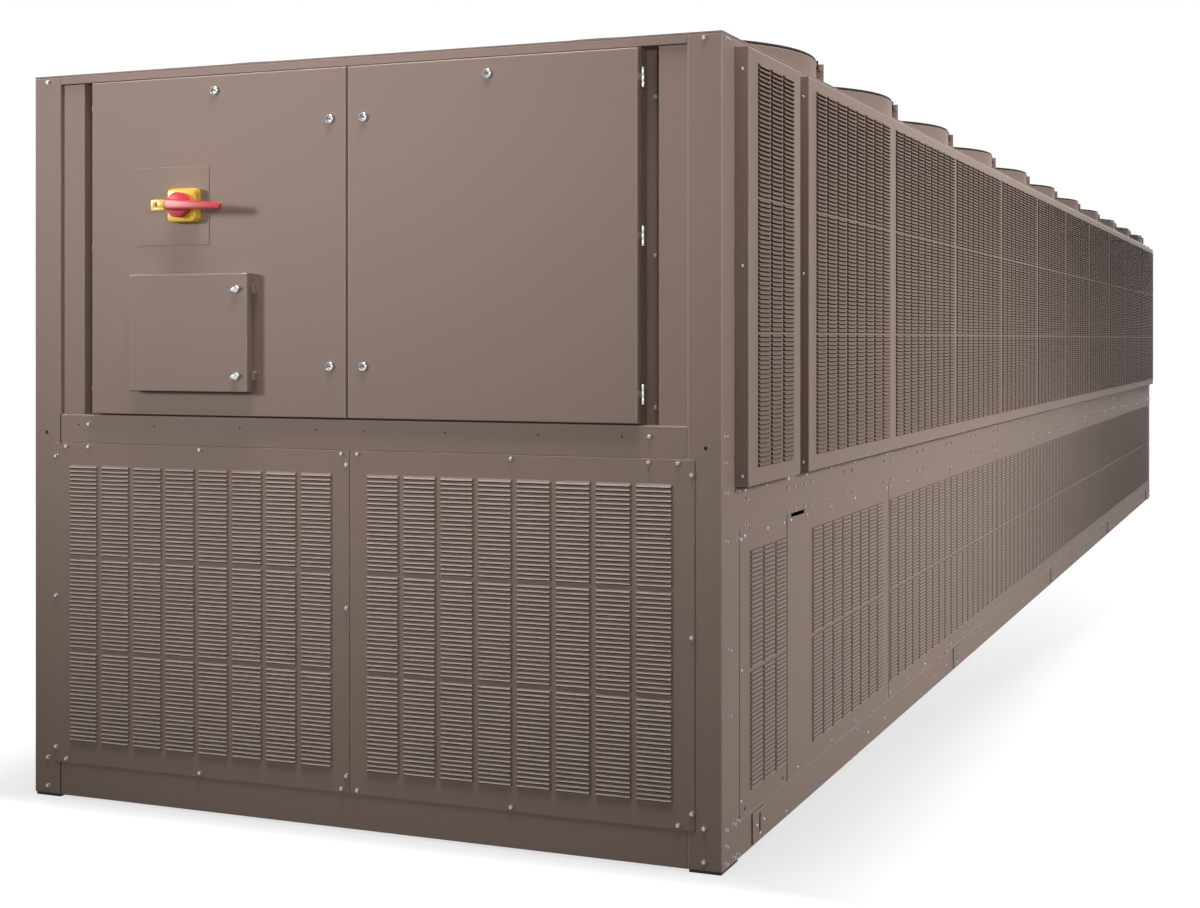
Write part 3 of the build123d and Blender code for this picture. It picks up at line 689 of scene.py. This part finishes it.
def blade_mesh(hub, tip, base):
    """A curved blade, twisted and wider towards its tip."""
    root, root_width, widening = hub * 0.9, 0.15, 0.10
    root_pitch, twist, flattening = math.radians(24), math.radians(12), 0.72
    sweep, camber, thickness = 0.10, 0.007, 0.005
    bm = bmesh.new()
    bmesh.ops.create_grid(bm, x_segments=6, y_segments=4, size=0.5)
    for vert in bm.verts:
        along, across = vert.co.x + 0.5, vert.co.y
        r = root + (tip - root) * along
        width = root_width + widening * along
        pitch = root_pitch - twist * along
        y = across * width * math.cos(pitch) + sweep * along * along
        z = base - across * width * math.sin(pitch) * flattening + camber * (1 - (2 * across) ** 2)
        vert.co = (r * math.cos(y / r), r * math.sin(y / r), z)
    bmesh.ops.recalc_face_normals(bm, faces=bm.faces)
    bmesh.ops.solidify(bm, geom=bm.faces[:], thickness=thickness)
    return bm


def rotor_mesh(sizes, tip, low, high):
    """A domed hub with curved blades, about its own axis."""
    radius = 0.105
    hub = spun(((0, low), (radius, low), (radius, high - 0.014), (radius * 0.92, high - 0.003),
                (radius * 0.5, high), (0, high)), 32, closed=False)
    return join(hub, copies(blade_mesh(radius, tip, (low + high) / 2), turns(sizes.blade_count)))


class CHILLER_OT_fans(bpy.types.Operator):
    """Make the fan cowls, their wire guards and the fans"""
    bl_idname = "chiller.fans"
    bl_label = "Fans"

    def execute(self, context):
        sizes = context.scene.chiller_fans
        guards = islands("fan_guards")
        radius = (guards[0][1].x - guards[0][0].x) / 2
        places = [Matrix.Translation(((low.x + high.x) / 2, (low.y + high.y) / 2, 0)) for low, high in guards]
        low, high = (corner.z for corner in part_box("fan_cowls"))
        add_piece("rolled_fan_cowls", copies(cowl_mesh(radius, low, high), places), "taupe_paint",
                  stands_for=("fan_cowls",), smooth=35)
        add_piece("wire_fan_guards", copies(guard_mesh(sizes, radius, high), places), "guard_black",
                  stands_for=("fan_guards",), smooth=50)
        low, high = (corner.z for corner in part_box("fan_rotors"))
        rotor = rotor_mesh(sizes, radius - RIM_CLEARANCE, low, high)
        add_piece("curved_fan_rotors", copies(rotor, places), "fan_black", stands_for=("fan_rotors",),
                  smooth=40)
        return {"FINISHED"}


# Fasteners
def bolt_mesh(radius):
    """A hexagon head on a flange, standing on the plane Z 0."""
    bm = bmesh.new()
    flange = radius * 0.22
    head = radius * 0.78
    bmesh.ops.create_cone(bm, cap_ends=True, segments=12, radius1=radius, radius2=radius * 0.86,
                          depth=flange + LAP, matrix=Matrix.Translation((0, 0, (flange - LAP) / 2)))
    made = bmesh.ops.create_cone(bm, cap_ends=True, segments=6, radius1=radius * 0.72, radius2=radius * 0.72,
                                 depth=head, matrix=Matrix.Translation((0, 0, flange + head / 2)))
    top = [face for vert in made["verts"] for face in vert.link_faces if face.normal.z > 0.9]
    edges = {edge for face in top if face.calc_center_median().z > flange + head * 0.9 for edge in face.edges}
    bevel(bm, list(edges), radius * 0.14, 1)
    return bm


def screw_mesh(radius):
    """A low domed screw head."""
    outline = ((0, -LAP), (radius, -LAP), (radius, radius * 0.18), (radius * 0.8, radius * 0.42),
               (radius * 0.4, radius * 0.55), (0, radius * 0.58))
    return spun(outline, 12, closed=False)


def hole_mesh(radius):
    """A flat dark disc of painted shade for the inside of a drilled hole."""
    return spun(((0, -LAP), (radius, -LAP), (radius, LAP), (0, LAP)), 16, closed=False)


def side_spots():
    """Spots on one side: bolts of the rails, bolts of the front post, and small screws."""
    seams = [high.y - FRONT_Y for low, high in islands("right_lower_louvre_panels")]
    bays = seams[1:-1]
    middle, upper, lower, base = 0.974, 1.000, 0.875, 0.128
    bolts = [(s, z) for s in (0.203, 0.600, 0.668, 0.779, 0.854) for z in (middle, 0.905)]
    for seam in bays:
        bolts += [(seam + shift + pair, z) for shift in (-0.03, -0.59) for pair in (-0.052, 0.052)
                  for z in (middle, 0.904)]
    post = [(0.029, z) for z in (1.154, 1.083, 1.005, 0.876, 0.113, 0.069, 0.023)]
    post += [(s, z) for s in (0.095, 0.129) for z in (0.113, 0.023)]
    post += [(0.128, 1.004), (0.130, 0.875), (0.040, 2.206), (0.057, 0.585), (0.057, 0.410)]
    screws = [(s, upper) for s in (0.198, 0.403, 0.620, 0.819)]
    screws += [(s, lower) for s in (0.194, 0.408, 0.577, 0.647, 0.825)]
    for seam in bays:
        screws += [(seam + shift, z) for shift in (-0.80, -0.49, -0.03, 0.03) for z in (upper, lower, base)]
        screws.append((seam - 0.29, upper))
        bolts += [(seam + shift, z) for shift in (-0.56, -0.49) for z in (0.100, 0.018)]
        bolts += [(seam + shift, 0.115) for shift in (-0.27, -0.12)]
        screws += [(seam + shift, 0.052) for shift in (-0.31, -0.06)]
    screws += [(0.162, 0.157), (0.718, base), (0.593, 0.025), (0.162, 0.867), (0.165, 0.512)]
    return bolts, post, screws


def bracket_spots():
    """Screws round the slots of one side's lifting brackets."""
    at = [y - FRONT_Y for y in middles(box for box in islands("lifting_brackets") if box[0].x > 0)]
    return [(s + shift, z) for s in at for shift, z in ((-0.031, 0.062), (0.036, 0.063), (-0.002, 0.034))]


def end_spots():
    """Bolts of one end, as (x, z): those on the frame, then those on the sheets."""
    frame_bolts = [(side * x, z) for side in SIDES for x, z in
                   ((0.916, 1.152), (1.070, 2.206), (1.070, 0.120), (1.070, 0.032))]
    sheet_bolts = [(side * x, z) for side in SIDES for x, z in
                   ((0.915, 1.083), (0.998, 1.083), (0.510, 1.083), (0.026, 1.083), (1.037, 1.052),
                    (1.037, 0.622), (1.037, 0.156), (0.510, 0.122), (0.026, 0.122), (0.998, 0.122))]
    sheet_bolts += [(-0.010, z) for z in (1.051, 0.641, 0.160)]
    return frame_bolts, sheet_bolts


class CHILLER_OT_fasteners(bpy.types.Operator):
    """Set the bolts, screws and drilled holes on the frame and panels"""
    bl_idname = "chiller.fasteners"
    bl_label = "Fasteners"

    def execute(self, context):
        sizes = context.scene.chiller_fittings
        self.bolts_and_screws(sizes)
        self.holes(sizes.hole_radius)
        self.painted_seam_shade()
        return {"FINISHED"}

    def bolts_and_screws(self, sizes):
        """Bolts and screws of the sides, the ends, the recess plates and the upper pans."""
        bolts, post, screws = side_spots()
        frame_bolts, sheet_bolts = end_spots()
        big, small = [], []
        for side in SIDES:
            big += side_places(side, SIDE_X, bolts + post)
            small += side_places(side, SIDE_X, screws)
            small += side_places(side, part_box("lifting_brackets")[1].x, bracket_spots())
        for end, face, sheet in ((-1, FRONT_Y, PANEL_Y), (1, REAR_Y, REAR_PANEL_Y)):
            big += end_places(end, face, frame_bolts) + end_places(end, sheet, sheet_bolts)
        length = REAR_Y - FRONT_Y
        for side in SIDES:
            big += side_places(side, SIDE_X, [(length - s, z) for s, z in post])
            big += end_places(-1, RECESS_Y, [(side * 0.913, z) for z in (2.066, 1.637, 1.226)])
            small += self.flange_places(side)
        add_piece("plated_bolts", copies(bolt_mesh(sizes.bolt_radius), big), "galvanised")
        add_piece("plated_screws", copies(screw_mesh(sizes.screw_radius), small), "galvanised", smooth=40)

    def flange_places(self, side):
        """Screws in the front flanges of the first two upper pans."""
        pans = islands("right_upper_louvre_panels")[:2]
        x = side * (SIDE_X + PAN_X) / 2
        return [facing((x, pan[0].y, z), FORWARD) for pan in pans for z in (2.136, 1.608, 1.044)]

    def holes(self, radius):
        """Holes in the posts and the lower sheets, and a row of half-size ones along the front's mid rail."""
        holes = end_places(-1, FRONT_Y, [(side * 1.075, 1.124) for side in SIDES])
        for side in SIDES:
            holes += side_places(side, SIDE_X, ((0.194, 0.131), (0.561, 0.131)))
        row = (-0.955, -0.676, -0.372, -0.113, 0.047, 0.305, 0.590, 0.838)
        tiny = end_places(-1, FRONT_Y, [(x, 1.150) for x in row])
        # Each hole is drawn as a dark disc: painted shade for its inside.
        bm = join(copies(hole_mesh(radius), holes), copies(hole_mesh(radius / 2), tiny))
        add_piece("drilled_holes", bm, "guard_black")

    def painted_seam_shade(self):
        """Dark strips of painted shade in the gaps at the front rails' left ends, behind the narrow lower
        sheets and at the rear posts.
        """
        gaps = []
        for node in ("end_mid_rails", "end_base_rails"):
            low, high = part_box(node)
            gaps.append(box_mesh((low.x - 0.0015, FRONT_Y - LAP, low.z),
                                 (low.x + 0.0020, FRONT_Y + LAP, high.z)))
        sheets = islands("right_lower_louvre_panels")
        for (low, high), before, after in ((sheets[0], 0.003, 0.003), (sheets[-1], 0.001, 0.005)):
            for reach in (-SIDE_X, SIDE_X):
                gaps.append(box_mesh((reach - LAP, high.y - before, low.z),
                                     (reach + LAP, high.y + after, high.z)))
        add_piece("painted_seam_shade", join(*gaps), "guard_black")


# Cabinet
class CHILLER_OT_cabinet(bpy.types.Operator):
    """Finish the cabinet, its recess plates and the gear inside"""
    bl_idname = "chiller.cabinet"
    bl_label = "Cabinet"

    def execute(self, context):
        self.fillers()
        soften("rounded_recess_plates", "recess_plates", "taupe_paint", 0.001)
        soften("galvanised_plate", "mounting_plate", "galvanised", 0.0015)
        soften("isolator_body", "isolator_switch", "dark_plastic", 0.006, segments=3)
        soften("rounded_cabinet_hinges", "cabinet_hinges", "chrome", 0.0006, smooth=40, marked=off_the_pin,
               extra=("taupe_paint",))
        return {"FINISHED"}

    def fillers(self):
        """The folded strips beside the doors, drawn up to a hair under the header."""
        hair, top_reach = 0.0015, 0.005
        piece = soften("folded_fillers", "front_fillers", "taupe_paint", 0.0012, axes=(1,))
        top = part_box("front_fillers")[1].z
        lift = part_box("end_headers")[0].z - hair - top
        for vert in piece.data.vertices:
            if vert.co.z > top - top_reach:
                vert.co.z += lift


# Doors
def latch_mesh(radius, depth):
    """A round quarter-turn latch with a raised rim and a triangular key boss, standing on the plane Z 0."""
    well, boss_finish = 0.61, 2
    outline = ((0, -LAP), (radius, -LAP), (radius, depth * 0.55), (radius * 0.9, depth * 0.85),
               (radius * 0.72, depth), (radius * 0.62, depth * 0.8), (radius * 0.58, depth * 0.35),
               (0, depth * 0.35))
    body = spun(outline, 28, closed=False)
    # The well's faces take the duller galvanised finish and the key boss dark plastic: painted shade for the
    # dark centre of the recess.
    for face in body.faces:
        centre = face.calc_center_median()
        face.material_index = int(0 < centre.z < depth * 0.5 and centre.xy.length < radius * well)
    boss = bmesh.new()
    bmesh.ops.create_cone(boss, cap_ends=True, segments=3, radius1=radius * 0.30, radius2=radius * 0.27,
                          depth=depth * 0.6, matrix=Matrix.Translation((0, 0, depth * 0.6)))
    for face in boss.faces:
        face.material_index = boss_finish
    return join(body, boss)


class CHILLER_OT_doors(bpy.types.Operator):
    """Finish the two doors with their hinges, latches and seals"""
    bl_idname = "chiller.doors"
    bl_label = "Doors"

    def execute(self, context):
        for node in ("left_door", "right_door"):
            soften(f"folded_{node}", node, "taupe_paint", 0.004, axes=(1,), body=node, segments=3)
            soften(f"rounded_{node}_hinges", f"{node}_hinges", "chrome", 0.0006, body=node, smooth=40,
                   marked=off_the_pin, extra=("taupe_paint",))
            latches = copies(latch_mesh(radius=0.0135, depth=0.008), front_places(f"{node}_latches", DOOR_Y))
            add_piece(f"round_{node}_latches", latches, "chrome", node, (f"{node}_latches",), smooth=40,
                      extra=("galvanised", "dark_plastic"))
            self.seal(node)
        return {"FINISHED"}

    def seal(self, node):
        """A rubber strip round the inside of the door's sheet."""
        sheet, inset, width, depth, roundness = 0.003, 0.012, 0.014, 0.012, 0.003
        low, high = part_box(node)
        left, bottom, right, top = low.x + inset, low.z + inset, high.x - inset, high.z - inset
        front, back = DOOR_Y + sheet, DOOR_Y + sheet + depth
        strips = [box_mesh((left, front, z), (right, back, z + width), roundness)
                  for z in (bottom, top - width)]
        strips += [box_mesh((x, front, bottom + width), (x + width, back, top - width), roundness)
                   for x in (left, right - width)]
        add_piece(f"{node}_seal", join(*strips), "rubber", node)


# Switch
class CHILLER_OT_switch(bpy.types.Operator):
    """Finish the rotary switch on the left door"""
    bl_idname = "chiller.switch"
    bl_label = "Switch"

    def execute(self, context):
        soften("switch_sheet", "switch_plate", "taupe_paint", 0.0008, body="left_door")
        soften("yellow_escutcheon", "switch_escutcheon", "yellow_plastic", 0.007, axes=(1,), body="left_door",
               segments=4, smooth=35)
        self.handle()
        self.tab()
        return {"FINISHED"}

    def handle(self):
        """A round knob with a tapered lever across its front, which droops a little."""
        radius, tail, tail_half, tip_half = 0.037, -0.030, 0.0165, 0.0095
        tail_back, tip_depth, tip_set_back, droop = 0.016, 0.018, 0.001, math.radians(-3)
        low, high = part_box("switch_escutcheon")
        handle_low, handle_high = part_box("switch_handle")
        centre = Vector(((low.x + high.x) / 2, handle_high.y, (low.z + high.z) / 2))
        tip = handle_high.x - centre.x
        depth = centre.y - handle_low.y
        knob = spun(((0, 0), (radius, 0), (radius, 0.018), (radius - 0.0012, 0.021), (radius - 0.004, 0.0225),
                     (0, 0.0235)), 48, closed=False)
        lever = bmesh.new()
        bmesh.ops.create_cube(lever, size=2)
        for vert in lever.verts:
            front = vert.co.z > 0
            if vert.co.x > 0:
                vert.co = (tip, vert.co.y * tip_half, depth - (tip_set_back if front else tip_depth))
            else:
                vert.co = (tail, vert.co.y * tail_half, depth if front else tail_back)
        bevel(lever, lever.edges[:], 0.0055, 4)
        bmesh.ops.rotate(lever, cent=(0, 0, 0), matrix=Matrix.Rotation(droop, 3, "Z"), verts=lever.verts)
        bm = join(knob, lever)
        bmesh.ops.transform(bm, matrix=facing(centre, FORWARD), verts=bm.verts)
        add_piece("red_handle", bm, "red_plastic", "switch_handle", ("switch_handle",), smooth=35)

    def tab(self):
        """A yellow locking tab: a wide end with a hole, and a narrow tongue let into the lever."""
        tongue_half = 0.009
        low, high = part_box("switch_padlock_tab")
        middle = (low.z + high.z) / 2
        wide = flat_copy("switch_padlock_tab")
        bevel(wide, [edge for edge in wide.edges if is_sharp(edge)], 0.0022, 3)
        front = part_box("switch_handle")[0].y
        tongue = box_mesh((high.x - 0.020, front - 0.0015, middle - tongue_half),
                          (high.x + 0.006, front + 0.004, middle + tongue_half), 0.0012)
        add_piece("yellow_tab", join(wide, tongue), "yellow_plastic", "switch_handle",
                  ("switch_padlock_tab",), smooth=35)


# Display
def wing_mesh(tilt):
    """An almond-shaped wing on a round base, standing on the plane Z 0."""
    height, middle_width, narrowing = 0.0078, 0.60, 14
    base = spun(((0, -LAP), (0.0105, -LAP), (0.0105, 0.003), (0.0085, 0.005), (0, 0.005)), 24, closed=False)
    wing = spun(((0, -0.0035), (0.011, -0.0035), (0.016, -0.0015), (0.0165, 0.0005), (0.012, 0.0035),
                 (0.006, 0.0055), (0, 0.006)), 32, closed=False)
    for vert in wing.verts:
        vert.co.y *= middle_width - narrowing * abs(vert.co.x)
    place = Matrix.Rotation(tilt, 4, "Z") @ Matrix.Translation((0, 0, height))
    bmesh.ops.transform(wing, matrix=place, verts=wing.verts)
    return join(base, wing)


class CHILLER_OT_display(bpy.types.Operator):
    """Finish the display, its cover and the cover's fittings"""
    bl_idname = "chiller.display"
    bl_label = "Display"

    def execute(self, context):
        soften("folded_cover", "display_cover", "taupe_paint", 0.003, axes=(1,), body="display_cover",
               segments=3)
        soften("rounded_cover_hinges", "cover_hinges", "chrome", 0.0005, body="left_door", smooth=40)
        soften("rounded_keepers", "cover_keepers", "taupe_paint", 0.0015, body="left_door")
        places = front_places("cover_latches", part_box("cover_latches")[1].y)
        add_piece("wing_latches", copies(wing_mesh(math.radians(14)), places), "chrome", "display_cover",
                  ("cover_latches",), smooth=40)
        soften("display_bezel", "display_unit", "dark_plastic", 0.0025, body="left_door", segments=3)
        self.screen()
        self.keys()
        return {"FINISHED"}

    def screen(self):
        """A glass screen in the bezel's recess."""
        margin, height, recess, back = 0.036, 0.120, 0.0012, 0.003
        low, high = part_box("display_unit")
        glass = box_mesh((low.x + margin, low.y + recess, high.z - margin - height),
                         (high.x - margin, low.y + back + LAP, high.z - margin), 0.0006)
        add_piece("display_screen", glass, "dark_plastic", "left_door", look="screen_glass")

    def keys(self):
        """Two rows of keys under the screen."""
        rows, columns = 2, 5
        width, height, gap, proud = 0.034, 0.014, 0.010, 0.0025
        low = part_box("display_unit")[0]
        keys = []
        for row in range(rows):
            for column in range(columns):
                x = low.x + 0.046 + column * (width + gap)
                z = low.z + 0.022 + row * (height + gap)
                keys.append(box_mesh((x, low.y - proud, z), (x + width, low.y + LAP, z + height), 0.0018))
        add_piece("display_keys", join(*keys), "rubber", "left_door")


# Stage
class CHILLER_OT_stage(bpy.types.Operator):
    """Lay the pale floor and set the lights and the camera"""
    bl_idname = "chiller.stage"
    bl_label = "Stage"

    def execute(self, context):
        props = context.scene.chiller_stage
        self.floor()
        self.world(props.ambient)
        self.lamps(props)
        self.camera(props)
        context.scene.view_settings.view_transform = "Standard"
        return {"FINISHED"}

    def floor(self):
        """A wide floor, which the camera sees lifted to white."""
        bm = bmesh.new()
        bmesh.ops.create_grid(bm, x_segments=1, y_segments=1, size=90)
        mesh = bpy.data.meshes.new("floor")
        bm.to_mesh(mesh)
        bm.free()
        material = bpy.data.materials.new("pale_floor")
        material.use_nodes = True
        tree = material.node_tree
        shader = tree.nodes["Principled BSDF"]
        shader.inputs["Base Color"].default_value = (0.11, 0.11, 0.11, 1)
        shader.inputs["Roughness"].default_value = 0.9
        shader.inputs["Specular IOR Level"].default_value = 0.1
        shader.inputs["Emission Color"].default_value = (1, 1, 1, 1)
        lift = maths(tree, "MULTIPLY", self.seen(tree), self.lift(tree))
        tree.links.new(lift, shader.inputs["Emission Strength"])
        mesh.materials.append(material)
        floor = bpy.data.objects.new("floor", mesh)
        bpy.context.scene.collection.objects.link(floor)

    def lift(self, tree):
        """The floor's lift to white: none under the unit and less at its foot, a painted shade and shadow
        there, and all of it further off; beside the unit the painted shadow fades out towards the rear.
        """
        painted_shadow_level, fade, front_slope, depth_slope, foot_reach = 0.71, 0.75, 4.0, 0.115, -0.05
        place = tree.nodes.new("ShaderNodeTexCoord")
        parts = tree.nodes.new("ShaderNodeSeparateXYZ")
        tree.links.new(place.outputs["Object"], parts.inputs[0])
        beside, before = (maths(tree, "SUBTRACT", maths(tree, "ABSOLUTE", parts.outputs[axis], 0), half)
                          for axis, half in (("X", SIDE_X), ("Y", REAR_Y)))
        outside = maths(tree, "GREATER_THAN", maths(tree, "MAXIMUM", beside, before), foot_reach)
        # Towards the rear the painted shadow beside the unit fades out.
        behind = maths(tree, "SUBTRACT", parts.outputs["Y"], FRONT_Y + 1.5)
        near = maths(tree, "MAXIMUM", beside, maths(tree, "MULTIPLY", before, front_slope))
        near = maths(tree, "MAXIMUM", near, maths(tree, "MULTIPLY", behind, depth_slope))
        ramp = tree.nodes.new("ShaderNodeMapRange")
        ramp.interpolation_type = "SMOOTHSTEP"
        tree.links.new(near, ramp.inputs["Value"])
        for socket, value in (("From Max", fade), ("To Min", painted_shadow_level), ("To Max", 1.0)):
            ramp.inputs[socket].default_value = value
        return maths(tree, "MULTIPLY", ramp.outputs["Result"], outside)

    def world(self, ambient):
        """A white background, which lights the unit only a little."""
        world = bpy.data.worlds.new("studio")
        world.use_nodes = True
        tree = world.node_tree
        back = tree.nodes["Background"]
        back.inputs["Color"].default_value = (1, 1, 1, 1)
        tree.links.new(maths(tree, "MAXIMUM", self.seen(tree), ambient), back.inputs["Strength"])
        bpy.context.scene.world = world

    def seen(self, tree):
        """1 where the camera sees the background, straight or in metal or glass."""
        path = tree.nodes.new("ShaderNodeLightPath").outputs
        straight = maths(tree, "MAXIMUM", path["Is Camera Ray"], path["Is Glossy Ray"])
        return maths(tree, "MAXIMUM", straight, path["Is Transmission Ray"])

    def lamps(self, props):
        """Round lamps, each with its place, its target, its size and its spread in degrees."""
        doors = (-0.2, FRONT_Y, 2.3)
        for name, place, target, size, spread, power in (
                ("front_left_light", (-5.6, FRONT_Y - 4.8, 2.9), doors, 1.4, 43, props.key_power),
                ("front_right_light", (3.5, FRONT_Y - 5.0, 2.4), doors, 1.5, 47, props.fill_power),
                ("top_light", (0.4, FRONT_Y - 1.0, 6.5), (0.2, FRONT_Y - 0.4, 0), 2.8, 60, props.top_power),
                ("right_light", (10.5, -4.6, 5.2), (1.1, -2.6, 2.4), 3.2, 80, props.side_power),
                ("left_light", (-10.5, 1.0, 5.2), (-1.1, 0.4, 1.6), 3.2, 110, props.left_power),
                ("rear_light", (3.0, REAR_Y + 6.0, 4.5), (0, REAR_Y, 1.4), 2.0, 60, props.rear_power),
                ("deck_light", (0, 1.0, 8.5), (0, 1.0, 2.2), 2.0, 110, props.deck_power)):
            light = bpy.data.lights.new(name, "AREA")
            light.shape = "DISK"
            light.size = size
            light.spread = math.radians(spread)
            light.energy = power
            lamp = bpy.data.objects.new(name, light)
            lamp.location = place
            lamp.rotation_euler = (Vector(target) - Vector(place)).to_track_quat("-Z", "Y").to_euler()
            bpy.context.scene.collection.objects.link(lamp)

    def camera(self, props):
        """A level camera before the control end, with its picture shifted down."""
        lens = bpy.data.cameras.new("camera")
        lens.sensor_width = 36
        lens.lens = props.lens
        lens.shift_y = -0.096
        camera = bpy.data.objects.new("camera", lens)
        camera.location = (2.597, FRONT_Y - 4.454, 1.4128)
        camera.rotation_euler = (math.pi / 2, 0, props.turn)
        bpy.context.scene.collection.objects.link(camera)
        bpy.context.scene.camera = camera


class CHILLER_PT_sidebar(bpy.types.Panel):
    """Shows the chiller's sizes, colours, lights and camera, and a button for each step"""
    bl_label = "Chiller"
    bl_idname = "CHILLER_PT_sidebar"
    bl_space_type = "VIEW_3D"
    bl_region_type = "UI"
    bl_category = "Chiller"

    def draw(self, context):
        for name in GROUPS:
            group = getattr(context.scene, name)
            box = self.layout.box()
            for prop in group.__annotations__:
                box.prop(group, prop)
        for step in STEPS:
            self.layout.operator(step.bl_idname)


GROUPS = {"chiller_louvres": ChillerLouvres, "chiller_fans": ChillerFans, "chiller_fittings": ChillerFittings,
          "chiller_finish": ChillerFinish, "chiller_stage": ChillerStage}
STEPS = (CHILLER_OT_finishes, CHILLER_OT_steelwork, CHILLER_OT_panels, CHILLER_OT_louvres, CHILLER_OT_fans,
         CHILLER_OT_fasteners, CHILLER_OT_cabinet, CHILLER_OT_doors, CHILLER_OT_switch, CHILLER_OT_display,
         CHILLER_OT_stage)


def register():
    for name, group in GROUPS.items():
        bpy.utils.register_class(group)
        setattr(bpy.types.Scene, name, PointerProperty(type=group))
    for step in (*STEPS, CHILLER_PT_sidebar):
        bpy.utils.register_class(step)


def unregister():
    for step in reversed((*STEPS, CHILLER_PT_sidebar)):
        bpy.utils.unregister_class(step)
    for name, group in GROUPS.items():
        delattr(bpy.types.Scene, name)
        bpy.utils.unregister_class(group)


def main():
    register()
    bpy.ops.chiller.finishes()
    bpy.ops.chiller.steelwork()
    bpy.ops.chiller.panels()
    bpy.ops.chiller.louvres()
    bpy.ops.chiller.fans()
    bpy.ops.chiller.fasteners()
    bpy.ops.chiller.cabinet()
    bpy.ops.chiller.doors()
    bpy.ops.chiller.switch()
    bpy.ops.chiller.display()
    bpy.ops.chiller.stage()


if __name__ == "__main__":
    main()
